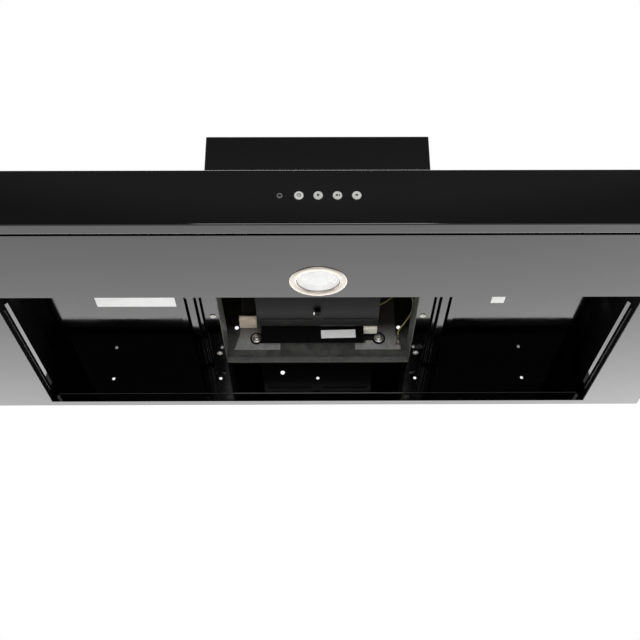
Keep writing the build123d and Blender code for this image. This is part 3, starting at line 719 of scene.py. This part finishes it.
# ---------------------------------------------------------------- sheets and mouldings kept from the frame
@dataclass
class SoftenedShells:
    """Copies of the frame's nodes with their doubles merged, flats cleaned and edges rounded."""

    wardrobe: Wardrobe
    widths: dict[str, float] = field(
        default_factory=lambda: {
            "front_fascia": 0.25,
            "end_panel_left": 0.3,
            "end_panel_right": 0.3,
            "underside_frame": 0.3,
            "top_panel": 0.3,
            "back_panel": 0.3,
            "filter_rail_left": 0.25,
            "filter_rail_right": 0.25,
            "ceiling_stiffener_left": 0.2,
            "ceiling_stiffener_right": 0.2,
            "port_frame": 0.3,
            "box_wrap": 0.3,
            "box_back": 0.3,
            "box_top": 0.3,
            "duct_collar": 0.3,
            "damper_flap_front": 0.2,
            "damper_flap_rear": 0.2,
            "damper_pin": 0.2,
            "scroll_left": 0.5,
            "scroll_right": 0.5,
            "inlet_guard_left": 0.5,
            "inlet_guard_right": 0.5,
            "impeller": 0.0,
            "motor_case": 0.4,
            "motor_end_cap": 0.4,
            "motor_support": 0.3,
            "blower_bracket_left": 0.25,
            "blower_bracket_right": 0.25,
            "control_box": 0.4,
            "control_box_lid": 1.0,
            "control_label": 0.05,
            "ceiling_labels": 0.05,
            "lamp_housing": 0.3,
            "lamp_spring_clips": 0.15,
            "switch_carrier": 0.4,
            "cable_grommet": 0.2,
        }
    )

    def build(self) -> None:
        """Make every softened copy."""
        for node, width in self.widths.items():
            self.soften(node, width)

    def soften(self, node: str, width: float) -> None:
        """Copy a node, merge and clean it, round its edges and let it stand for the node.

        Args:
            node: CAD node.
            width: Width of the edge rounding in millimetres, or zero for none.
        """
        Bench.clear()
        source = frame["nodes"][node]
        piece = bpy.data.objects.new(f"{node}_formed", source.data.copy())
        bpy.context.scene.collection.objects.link(piece)
        bpy.context.view_layer.objects.active = piece
        piece.select_set(True)
        Bench.edit()
        bpy.ops.mesh.remove_doubles(threshold=2e-6)
        bpy.ops.mesh.dissolve_limited(angle_limit=math.radians(0.4))
        bpy.ops.object.mode_set(mode="OBJECT")
        if width:
            Bench.soften(piece, width)
        bpy.ops.object.shade_smooth_by_angle(angle=math.radians(40))
        Bench.flatten_faces(piece)
        Bench.finish(piece, self.wardrobe, FinishName(SLOTS[node]), BODY_OF[node], node)
        if node.startswith("filter_rail"):
            self.wardrobe.dress_faces(piece, FinishName.DULL_ENAMEL, lambda normal: normal.z > -0.4)
        # Painted shade: all but the rear face of the box's back wear the darker zinc, for the shade inside the box.
        if node == "box_back":
            self.wardrobe.dress_faces(piece, FinishName.FILMED_ZINC, lambda normal: normal.y < 0.5)
        # Painted shade: the port's edging wears a darker zinc for the shade that falls on it.
        if node == "port_frame":
            self.wardrobe.dress_faces(piece, FinishName.WORN_ZINC, lambda normal: True)


# ---------------------------------------------------------------- canopy trim
@dataclass
class RearHem:
    """Folded hem along the top of the filter opening's rear lip."""

    wardrobe: Wardrobe
    thick: float = 1.5
    inset: float = 8.0

    def build(self) -> None:
        """Build the hem on the lip's top edge."""
        low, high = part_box("underside_frame")
        mesh = frame["nodes"]["underside_frame"].data
        middle_x = (low.x + high.x) / 2
        crest = [v.co for v in mesh.vertices if v.co.z > high.z - 0.5 * MM and abs(v.co.x - middle_x) < 0.40]
        rear = max(point.y for point in crest)
        ends = [point.x for point in crest if point.y > rear - 2 * MM]
        piece = Bench.block(
            "rear_lip_hem",
            (min(ends) + self.inset * MM, rear - 1.0 * MM - self.thick * MM, high.z - self.thick * MM),
            (max(ends) - self.inset * MM, rear - 0.4 * MM, high.z),
            0.6,
        )
        Bench.finish(piece, self.wardrobe, FinishName.GLOSS_BLACK_ENAMEL, "hood")


# ---------------------------------------------------------------- blower
@dataclass
class BlowerSeam:
    """Moulded lips of the two scroll halves where they meet."""

    wardrobe: Wardrobe
    arc_shift: float = 6.0
    arc_r: float = 102.0
    lip_w: float = 1.7
    lip_h: float = 1.3
    gap: float = 0.35
    start: float = 172.0
    sweep: float = 94.0

    def build(self) -> None:
        """Build both lips."""
        axis = middle("impeller")
        centre = (axis.x, axis.y + self.arc_shift * MM, axis.z)
        lips = [self.lip(centre, side) for side in (-1, 1)]
        piece = Bench.join("scroll_seam_lips", lips)
        Bench.finish(piece, self.wardrobe, FinishName.BLACK_PLASTIC, "hood")

    def lip(self, centre: tuple[float, float, float], side: int) -> bpy.types.Object:
        """Spin one lip round the scroll: a small ridge with a rounded crown.

        Args:
            centre: Middle of the scroll's front arc, in metres.
            side: Which half, as a sign.

        Returns:
            The lip.
        """
        Bench.clear()
        low, high = self.arc_r - 1.0, self.arc_r + self.lip_h
        bpy.ops.mesh.primitive_plane_add(size=1.0, location=(0, 0, 0))
        strip = bpy.context.object
        strip.scale = (self.lip_w * MM, (high - low) * MM, 1.0)
        strip.location = (side * (self.gap + self.lip_w / 2) * MM, (low + high) / 2 * MM, 0.0)
        bpy.ops.object.transform_apply(location=True, rotation=True, scale=True)
        turn = math.radians(self.start)
        strip.rotation_euler = (turn, 0.0, 0.0)
        strip.location = centre
        bpy.ops.object.transform_apply(location=True, rotation=True, scale=True)
        Bench.edit()
        bpy.ops.mesh.spin(steps=32, angle=math.radians(self.sweep), center=centre, axis=(1, 0, 0))
        bpy.ops.mesh.select_all(action="SELECT")
        bpy.ops.mesh.remove_doubles(threshold=1e-6)
        bpy.ops.mesh.normals_make_consistent(inside=False)
        bpy.ops.object.mode_set(mode="OBJECT")
        Bench.soften(strip, 0.35)
        Bench.settle(strip, 40)
        return strip


# ---------------------------------------------------------------- control row
class Mark(Enum):
    """Plain marks printed on the buttons."""

    CLOCK = "clock"
    FAN = "fan"
    FAN_AND_BAR = "fan_and_bar"
    LAMP = "lamp"


@dataclass
class ControlRow:
    """Four round push buttons with printed marks, and the pilot lamp beside them."""

    wardrobe: Wardrobe
    cap_r: float = 4.8
    rim: float = 0.5
    dish: float = 0.22
    print_t: float = 0.06
    marks: dict[str, Mark] = field(
        default_factory=lambda: {
            "timer_button": Mark.CLOCK,
            "fan_slower_button": Mark.FAN,
            "fan_faster_button": Mark.FAN_AND_BAR,
            "light_button": Mark.LAMP,
        }
    )

    def build(self) -> None:
        """Build the buttons, their marks and the pilot lamp."""
        for node, mark in self.marks.items():
            self.button(node)
            self.printed(node, mark)
        self.pilot()

    def button(self, node: str) -> None:
        """Turn one button: stem, retaining flange, and a cap with a rounded rim and a shallow dish.

        Args:
            node: The button's CAD node.
        """
        low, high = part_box(node)
        centre = middle(node)
        long = (high.y - low.y) / MM
        flange = long - 1.2 - 2.6
        r = self.cap_r
        profile = [
            (2.5, 0.0),
            (2.5, flange),
            (r + 1.6, flange),
            (r + 1.6, flange + 1.2),
            (r, flange + 1.2),
            (r, long - self.rim),
            (r - 0.07, long - 0.26),
            (r - 0.22, long - 0.08),
            (r - 0.45, long),
            (r - 0.8, long - 0.02),
            (r - 1.5, long - self.dish * 0.6),
            (r - 2.8, long - self.dish),
            (0.0, long - self.dish),
        ]
        piece = Bench.turned(f"{node}_cap", profile, (centre.x, high.y, centre.z), Facing.FRONT)
        Bench.finish(piece, self.wardrobe, FinishName.BUTTON_SILVER, node, node)

    def stroke(self, at: tuple[float, float], size: tuple[float, float], turn: float, face: float) -> bpy.types.Object:
        """Print one bar of a mark.

        Args:
            at: Middle of the bar, in metres across and up.
            size: Length and width in millimetres.
            turn: Turn in degrees.
            face: Y of the cap's face.

        Returns:
            The bar.
        """
        Bench.clear()
        bpy.ops.mesh.primitive_cube_add(size=1.0, location=(0, 0, 0))
        bar = bpy.context.object
        bar.scale = (size[0] * MM, self.print_t * MM, size[1] * MM)
        bpy.ops.object.transform_apply(location=True, rotation=True, scale=True)
        Bench.edit()
        bpy.ops.mesh.bevel(offset=0.02 * MM, segments=1, affect="EDGES")
        bpy.ops.object.mode_set(mode="OBJECT")
        bar.rotation_euler = (0.0, math.radians(turn), 0.0)
        bar.location = (at[0], face, at[1])
        Bench.settle(bar)
        return bar

    def hoop(self, at: tuple[float, float], radius: float, face: float) -> bpy.types.Object:
        """Print one ring of a mark."""
        t = self.print_t / 2
        profile = [(radius - 0.38, -t), (radius + 0.38, -t), (radius + 0.38, t), (radius - 0.38, t)]
        return Bench.turned("hoop", profile, (at[0], face, at[1]), Facing.FRONT, 32, closed=True)

    def printed(self, node: str, mark: Mark) -> None:
        """Print a button's mark.

        Args:
            node: The button's CAD node.
            mark: Which mark.
        """
        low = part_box(node)[0]
        centre = middle(node)
        face = low.y + (self.dish - 0.02) * MM
        x, z = centre.x, centre.z
        parts = []
        if mark is Mark.CLOCK:
            parts.append(self.hoop((x, z), 1.9, face))
            parts.append(self.stroke((x, z + 0.5 * MM), (1.3, 0.6), 90, face))
            parts.append(self.stroke((x + 0.45 * MM, z), (1.3, 0.6), 0, face))
        if mark in (Mark.FAN, Mark.FAN_AND_BAR):
            shift = -0.7 * MM if mark is Mark.FAN_AND_BAR else 0.0
            for turn in (45, -45):
                parts.append(self.stroke((x + shift, z), (3.3, 0.95), turn, face))
            if mark is Mark.FAN_AND_BAR:
                parts.append(self.stroke((x + 1.9 * MM, z), (2.8, 0.9), 90, face))
            else:
                parts.append(self.stroke((x, z + 1.3 * MM), (2.4, 0.7), 0, face))
        if mark is Mark.LAMP:
            for turn, side in ((-38, 1), (38, -1)):
                parts.append(self.stroke((x + side * 0.85 * MM, z + 0.75 * MM), (2.1, 0.75), -turn, face))
            parts.append(self.stroke((x, z), (3.4, 0.8), 0, face))
            parts.append(self.stroke((x, z - 1.1 * MM), (2.0, 0.7), 0, face))
        piece = Bench.join(f"{node}_mark", parts)
        Bench.finish(piece, self.wardrobe, FinishName.GREY_PLASTIC, node)

    def pilot(self) -> None:
        """Turn the pilot lamp: a smoked dome on a short barrel."""
        low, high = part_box("indicator_lamp")
        centre = middle("indicator_lamp")
        long = (high.y - low.y) / MM
        ring = [(3.1, 0.0), (3.1, long - 0.5), (2.9, long - 0.15), (2.5, long), (1.9, long - 0.2), (1.7, long - 0.9), (1.7, 0.0)]
        at = (centre.x, high.y, centre.z)
        piece = Bench.turned("indicator_lamp_ring", ring, at, Facing.FRONT, closed=True)
        Bench.finish(piece, self.wardrobe, FinishName.BUTTON_SILVER, "hood", "indicator_lamp")
        self.wardrobe.dress(piece, FinishName.PILOT_RIM)
        dome = [(1.66 * math.cos(a), long - 1.0 + 0.6 * math.sin(a)) for a in (0.0, 0.4, 0.8, 1.2)]
        piece = Bench.turned("indicator_lamp_dome", [(1.66, 2.0), *dome, (0.0, long - 0.4)], at, Facing.FRONT)
        Bench.finish(piece, self.wardrobe, FinishName.DARK_LENS, "hood")


# ---------------------------------------------------------------- lamp
@dataclass
class LampUnit:
    """Round recessed lamp: a satin bezel with a rolled rim, and a prismatic frosted lens."""

    wardrobe: Wardrobe
    flange_r: float = 32.5
    lens_r: float = 24.5
    proud: float = 1.4

    def build(self) -> None:
        """Build the bezel and the lens."""
        centre = middle("lamp_bezel")
        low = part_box("lamp_bezel")[0]
        at = (centre.x, centre.y, low.z)
        f, g, p = self.flange_r, self.lens_r, self.proud
        bezel = [
            (f, p),
            (f, p - 0.5),
            (f - 0.2, p - 0.85),
            (f - 0.6, p - 1.15),
            (f - 1.3, p - 1.33),
            (f - 2.4, 0.0),
            (f - 4.6, 0.04),
            (g + 1.3, 0.2),
            (g + 0.6, 0.4),
            (g + 0.25, 0.8),
            (g + 0.15, 1.4),
            (g + 0.15, p + 8.8),
            (28.0, p + 9.0),
            (28.0, p + 0.05),
        ]
        piece = Bench.turned("lamp_bezel_ring", bezel, at, Facing.UP, 96, closed=True)
        Bench.finish(piece, self.wardrobe, FinishName.SATIN_NICKEL, "hood", "lamp_bezel")
        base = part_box("lamp_lens")[0]
        # Rings of shallow prisms round a clear middle.
        lens = [(g - 0.05, 2.4), (g - 0.05, 0.5), (g - 0.5, 0.1)]
        for ring in range(6):
            outer = g - 1.2 - ring * 2.0
            lens += [(outer, 0.06), (outer - 1.0, 0.42), (outer - 1.9, 0.12)]
        lens += [(8.0, 0.1), (3.0, 0.06), (0.0, 0.05)]
        piece = Bench.turned("lamp_lens_prisms", lens, (centre.x, centre.y, base.z), Facing.UP, 96)
        Bench.finish(piece, self.wardrobe, FinishName.FROSTED_LENS, "hood", "lamp_lens")


# ---------------------------------------------------------------- screws
@dataclass
class Fasteners:
    """Cross-head screws: two big ones in cup washers on the back, four in the ceiling."""

    wardrobe: Wardrobe

    def build(self) -> None:
        """Build every visible screw and washer."""
        self.back_screws()
        self.ceiling_screws()

    def cross(self, centre: Vector, size: float, depth: float, turn: float, facing: Facing) -> bpy.types.Object:
        """Make a cross-shaped cutter for a screw's recess.

        Args:
            centre: Middle of the head's face, in metres.
            size: Length of each slot in millimetres.
            depth: Depth of the recess in millimetres.
            turn: Turn of the cross about the screw, in degrees.
            facing: Which way the head points.

        Returns:
            The cutter.
        """
        arms = []
        for quarter in (0, 90):
            Bench.clear()
            bpy.ops.mesh.primitive_cube_add(size=1.0, location=(0, 0, 0))
            arm = bpy.context.object
            arm.scale = (size * MM, size * 0.24 * MM, depth * 2 * MM)
            bpy.ops.object.transform_apply(location=True, rotation=True, scale=True)
            Bench.edit()
            Bench.pick_faces(lambda face: face.normal.z < -0.5)
            bpy.ops.transform.resize(value=(0.55, 0.6, 1.0), center_override=(0, 0, -depth * MM))
            bpy.ops.object.mode_set(mode="OBJECT")
            arm.rotation_euler = (0.0, 0.0, math.radians(turn + quarter))
            bpy.ops.object.transform_apply(location=True, rotation=True, scale=True)
            arms.append(arm)
        first, second = arms
        bpy.context.view_layer.objects.active = first
        weld = first.modifiers.new("weld", "BOOLEAN")
        weld.operation = "UNION"
        weld.object = second
        bpy.ops.object.modifier_apply(modifier=weld.name)
        bpy.data.objects.remove(second)
        first.rotation_euler = facing.value
        first.location = centre
        Bench.settle(first)
        return first

    def back_screws(self) -> None:
        """Build the two big screws and their cup washers."""
        low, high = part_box("blower_screws")
        washer_low, washer_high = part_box("cup_washers")
        z = middle("blower_screws").z
        half = (washer_high.x - washer_low.x) / 2 - 7.25 * MM
        heads, cups = [], []
        for side, turn in ((-1, 20), (1, 65)):
            x = middle("cup_washers").x + side * half
            long = (high.y - low.y) / MM
            head = long - 2.0
            profile = [
                (2.4, 0.0),
                (2.5, 0.5),
                (2.5, head - 0.4),
                (4.6, head - 0.3),
                (4.55, head + 0.5),
                (4.1, head + 1.15),
                (3.2, head + 1.7),
                (1.8, head + 1.95),
                (0.0, long),
            ]
            screw = Bench.turned("screw", profile, (x, high.y, z), Facing.FRONT, 40)
            Bench.cut(screw, self.cross(Vector((x, low.y, z)), 5.4, 1.2, turn, Facing.FRONT))
            heads.append(screw)
            cup = [
                (7.25, 0.0),
                (7.25, 0.5),
                (6.9, 1.1),
                (6.2, 1.75),
                (5.6, 2.1),
                (5.0, 2.2),
                (4.7, 2.0),
                (3.9, 0.9),
                (2.65, 0.6),
                (2.65, 0.0),
            ]
            cups.append(Bench.turned("cup", cup, (x, washer_high.y, z), Facing.FRONT, 48, closed=True))
        piece = Bench.join("blower_screw_heads", heads)
        Bench.finish(piece, self.wardrobe, FinishName.NICKEL_SCREW, "hood", "blower_screws")
        piece = Bench.join("cup_washers_pressed", cups)
        Bench.finish(piece, self.wardrobe, FinishName.NICKEL_SCREW, "hood", "cup_washers")

    def ceiling_screws(self) -> None:
        """Build the four pan-head screws that hold the blower box to the canopy."""
        low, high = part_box("box_screws")
        made = []
        for x in (low.x + 4.25 * MM, high.x - 4.25 * MM):
            for y in (low.y + 4.25 * MM, high.y - 4.25 * MM):
                long = (high.z - low.z) / MM
                profile = [
                    (1.2, 0.0),
                    (2.0, 1.0),
                    (2.0, long - 2.2),
                    (4.25, long - 2.2),
                    (4.2, long - 1.4),
                    (3.8, long - 0.7),
                    (2.8, long - 0.2),
                    (1.4, long - 0.03),
                    (0.0, long),
                ]
                screw = Bench.turned("screw", profile, (x, y, high.z), Facing.DOWN, 40)
                turn = 17 + 1000 * (x - y) % 60
                Bench.cut(screw, self.cross(Vector((x, y, low.z)), 4.4, 1.2, turn, Facing.DOWN))
                made.append(screw)
        piece = Bench.join("box_screw_heads", made)
        Bench.finish(piece, self.wardrobe, FinishName.NICKEL_SCREW, "hood", "box_screws")


# ---------------------------------------------------------------- connectors and wire
@dataclass
class Wiring:
    """Nylon connectors, the earth tab and its short wire."""

    wardrobe: Wardrobe
    wire_r: float = 1.1

    def build(self) -> None:
        """Build the connectors, the tab and the wire."""
        self.beige_connector()
        self.white_connectors()
        self.earth_tab()
        self.earth_wire()

    def beige_connector(self) -> None:
        """Build the big beige plug: a two-step housing with a row of pin cells."""
        low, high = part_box("left_connector")
        step = low.y + 3 * MM
        body = Bench.block("body", (low.x, step, low.z), (high.x, high.y, high.z), 0.6)
        nose = Bench.block(
            "nose", (low.x + 2.5 * MM, low.y, low.z + 2 * MM), (high.x - 2.5 * MM, step + 1 * MM, high.z - 2 * MM), 0.4
        )
        Bench.clear()
        bpy.context.view_layer.objects.active = nose
        nose.select_set(True)
        bpy.ops.object.mode_set(mode="EDIT")
        Bench.pick_faces(lambda face: face.normal.y < -0.9 and face.calc_area() > 20 * MM * MM)
        bpy.ops.mesh.subdivide(number_cuts=3)
        bpy.ops.object.mode_set(mode="OBJECT")
        wide = (high.x - low.x) / 5
        Bench.press(nose, lambda face: face.normal.y < -0.9 and face.calc_area() > 0.2 * wide * wide, 0.5, 1.4, True)
        piece = Bench.join("left_connector_housing", [body, nose])
        Bench.finish(piece, self.wardrobe, FinishName.BEIGE_PLASTIC, "hood", "left_connector")

    def white_connectors(self) -> None:
        """Build the pair of small white plugs with pin cells and latches."""
        low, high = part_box("right_connectors")
        parts = []
        tall = 9 * MM
        for base in (low.z, high.z - tall):
            body = Bench.block("body", (low.x, low.y + 2 * MM, base), (high.x, high.y, base + tall), 0.5)
            nose = Bench.block(
                "nose",
                (low.x + 3 * MM, low.y, base + 1.5 * MM),
                (high.x - 3 * MM, low.y + 3 * MM, base + tall - 1.5 * MM),
                0.3,
            )
            Bench.press(
                nose, lambda face: face.normal.y < -0.9 and face.calc_area() > 20 * MM * MM, 0.8, 1.2
            )
            latch = Bench.block(
                "latch",
                (low.x + 8 * MM, low.y + 2.5 * MM, base + tall - 0.6 * MM),
                (high.x - 8 * MM, high.y - 4 * MM, base + tall + 0.4 * MM),
                0.2,
            )
            parts += [body, nose, latch]
        piece = Bench.join("right_connector_housings", parts)
        Bench.finish(piece, self.wardrobe, FinishName.WHITE_PLASTIC, "hood", "right_connectors")

    def earth_tab(self) -> None:
        """Build the earth tab: a flat foot and a rolled crimp."""
        low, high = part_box("earth_terminal")
        foot = Bench.block("foot", (low.x, high.y - 0.9 * MM, low.z), (high.x, high.y, low.z + 8 * MM), 0.2)
        Bench.press(foot, lambda face: face.normal.y < -0.9 and face.calc_area() > 20 * MM * MM, 1.6, -0.5)
        centre = middle("earth_terminal")
        crimp = [
            (1.6, 0.0),
            (2.6, 0.6),
            (2.7, 1.6),
            (2.2, 3.2),
            (2.3, 4.6),
            (2.65, 6.0),
            (2.6, 8.5),
            (2.2, 9.6),
            (1.3, 9.8),
        ]
        barrel = Bench.turned("crimp", crimp + [(1.25, 9.0), (0.0, 9.0)], (centre.x, high.y - 2.9 * MM, low.z + 7.6 * MM), Facing.UP, 24)
        piece = Bench.join("earth_tab", [foot, barrel])
        Bench.finish(piece, self.wardrobe, FinishName.SATIN_NICKEL, "hood", "earth_terminal")

    def earth_wire(self) -> None:
        """Clean the CAD wire's copy and wind its stripe round it."""
        Bench.clear()
        source = frame["nodes"]["earth_wire"]
        piece = bpy.data.objects.new("earth_wire_sleeve", source.data.copy())
        bpy.context.scene.collection.objects.link(piece)
        bpy.context.view_layer.objects.active = piece
        piece.select_set(True)
        Bench.edit()
        bpy.ops.mesh.remove_doubles(threshold=2e-6)
        bpy.ops.object.mode_set(mode="OBJECT")
        bpy.ops.object.shade_smooth_by_angle(angle=math.radians(60))
        stripe = piece.data.uv_layers.new(name="along_wire")
        for loop in piece.data.loops:
            normal = piece.data.vertices[loop.vertex_index].normal
            height = piece.data.vertices[loop.vertex_index].co.z
            turn = math.atan2(normal.y, normal.x) / (2 * math.pi) + 0.5
            stripe.data[loop.index].uv = (turn, height)
        Bench.finish(piece, self.wardrobe, FinishName.EARTH_WIRE_COVER, "hood", "earth_wire")


# ---------------------------------------------------------------- studio
@dataclass
class Studio:
    """Plain pale floor, soft light and the camera."""

    camera_place: tuple[float, float, float] = (-0.0030, -1.3773, -0.6923)
    camera_pitch: float = 27.12
    camera_yaw: float = -0.273
    camera_roll: float = -0.277
    lens: float = 58.34
    floor_z: float = -1.25
    softbox_watts: float = 5.0

    def build(self) -> None:
        """Make the whole studio."""
        self.add_camera()
        self.add_floor()
        self.add_lamp()
        self.light_world()

    def add_camera(self) -> None:
        """Place the camera below and in front of the hood, pitched up."""
        data = bpy.data.cameras.new("studio_camera")
        data.lens = self.lens
        data.sensor_width = 36.0
        camera = bpy.data.objects.new("studio_camera", data)
        turn = (
            Matrix.Rotation(math.radians(self.camera_yaw), 4, "Z")
            @ Matrix.Rotation(math.radians(90 + self.camera_pitch), 4, "X")
            @ Matrix.Rotation(math.radians(self.camera_roll), 4, "Z")
        )
        camera.matrix_world = Matrix.Translation(self.camera_place) @ turn
        bpy.context.scene.collection.objects.link(camera)
        bpy.context.scene.camera = camera

    def add_floor(self) -> None:
        """Lay a plain pale floor under the hood."""
        Bench.clear()
        bpy.ops.mesh.primitive_plane_add(size=1.0, location=(0.0, -0.35, self.floor_z))
        floor = bpy.context.object
        floor.name = "studio_floor"
        floor.scale = (3.4, 2.6, 1.0)
        material, tree, shader = new_material("pale_floor_paint")
        shader.inputs["Base Color"].default_value = linear("#e8e8e6")
        shader.inputs["Roughness"].default_value = 0.9
        floor.data.materials.append(material)

    def add_lamp(self) -> None:
        """Hang a big soft box round the camera, which lifts whatever faces it."""
        data = bpy.data.lights.new("studio_softbox", "AREA")
        data.shape = "SQUARE"
        data.size = 0.5
        data.energy = self.softbox_watts
        lamp = bpy.data.objects.new("studio_softbox", data)
        turn = Matrix.Rotation(math.radians(90 + self.camera_pitch), 4, "X")
        lamp.matrix_world = Matrix.Translation(self.camera_place) @ turn
        bpy.context.scene.collection.objects.link(lamp)

    def light_world(self) -> None:
        """Light the hood with a soft studio sky.

        The camera sees plain white. Glossy rays see a white sweep behind and below the hood and a dark
        room in front of it and above it. Everything else is lit by an even pale sky.
        """
        world = bpy.data.worlds.new("studio_sky")
        bpy.context.scene.world = world
        world.use_nodes = True
        tree = world.node_tree
        tree.nodes.clear()
        place = add_node(tree, "ShaderNodeTexCoord", {})
        parts = add_node(tree, "ShaderNodeSeparateXYZ", {}, {"Vector": place.outputs["Generated"]})
        sweep = add_node(tree, "ShaderNodeMapRange", {"From Min": -1.0, "From Max": 1.0}, {"Value": parts.outputs["Z"]})
        behind = add_node(tree, "ShaderNodeValToRGB", {}, {"Fac": sweep.outputs["Result"]})
        set_ramp(
            behind,
            [
                (0.00, grey(0.20)),
                (0.20, grey(0.30)),
                (0.235, grey(0.36)),
                (0.27, grey(0.42)),
                (0.305, grey(0.62)),
                (0.36, grey(0.95)),
                (0.50, grey(1.0)),
                (1.0, grey(0.5)),
            ],
        )
        front = add_node(tree, "ShaderNodeValToRGB", {}, {"Fac": sweep.outputs["Result"]})
        set_ramp(
            front,
            [
                (0.0, grey(0.03)),
                (0.45, grey(0.03)),
                (0.765, grey(0.034)),
                (0.778, grey(0.058)),
                (0.80, grey(0.042)),
                (1.0, grey(0.05)),
            ],
        )
        side = add_node(
            tree, "ShaderNodeMapRange", {"From Min": -0.15, "From Max": 0.15}, {"Value": parts.outputs["Y"]}
        )
        mirror = add_node(
            tree,
            "ShaderNodeMix",
            {"data_type": "RGBA"},
            {0: side.outputs["Result"], 6: front.outputs["Color"], 7: behind.outputs["Color"]},
        )
        # The sweep is a little dimmer on the left.
        dim = add_node(
            tree,
            "ShaderNodeMapRange",
            {"From Min": -0.3, "From Max": 0.0, "To Min": 4.1, "To Max": 4.8},
            {"Value": parts.outputs["X"]},
        )
        gloss = add_node(
            tree, "ShaderNodeBackground", {}, {"Color": mirror.outputs[2], "Strength": dim.outputs["Result"]}
        )
        soft = add_node(tree, "ShaderNodeBackground", {"Color": grey(1.0), "Strength": 0.95})
        seen = add_node(tree, "ShaderNodeBackground", {"Color": grey(1.0), "Strength": 1.0})
        path = add_node(tree, "ShaderNodeLightPath", {})
        by_gloss = add_node(
            tree,
            "ShaderNodeMixShader",
            {},
            {0: path.outputs["Is Glossy Ray"], 1: soft.outputs[0], 2: gloss.outputs[0]},
        )
        by_camera = add_node(
            tree,
            "ShaderNodeMixShader",
            {},
            {0: path.outputs["Is Camera Ray"], 1: by_gloss.outputs[0], 2: seen.outputs[0]},
        )
        add_node(tree, "ShaderNodeOutputWorld", {}, {"Surface": by_camera.outputs[0]})
        bpy.context.scene.view_settings.view_transform = "Standard"


def main() -> None:
    """Build the studio and every sub-assembly in order."""
    logging.basicConfig(level=logging.INFO, format="%(name)s: %(message)s")
    Studio().build()
    wardrobe = Wardrobe()
    wardrobe.dress_frame()
    SoftenedShells(wardrobe).build()
    RearHem(wardrobe).build()
    BlowerSeam(wardrobe).build()
    ControlRow(wardrobe).build()
    LampUnit(wardrobe).build()
    Fasteners(wardrobe).build()
    Wiring(wardrobe).build()


if __name__ == "__main__":
    main()
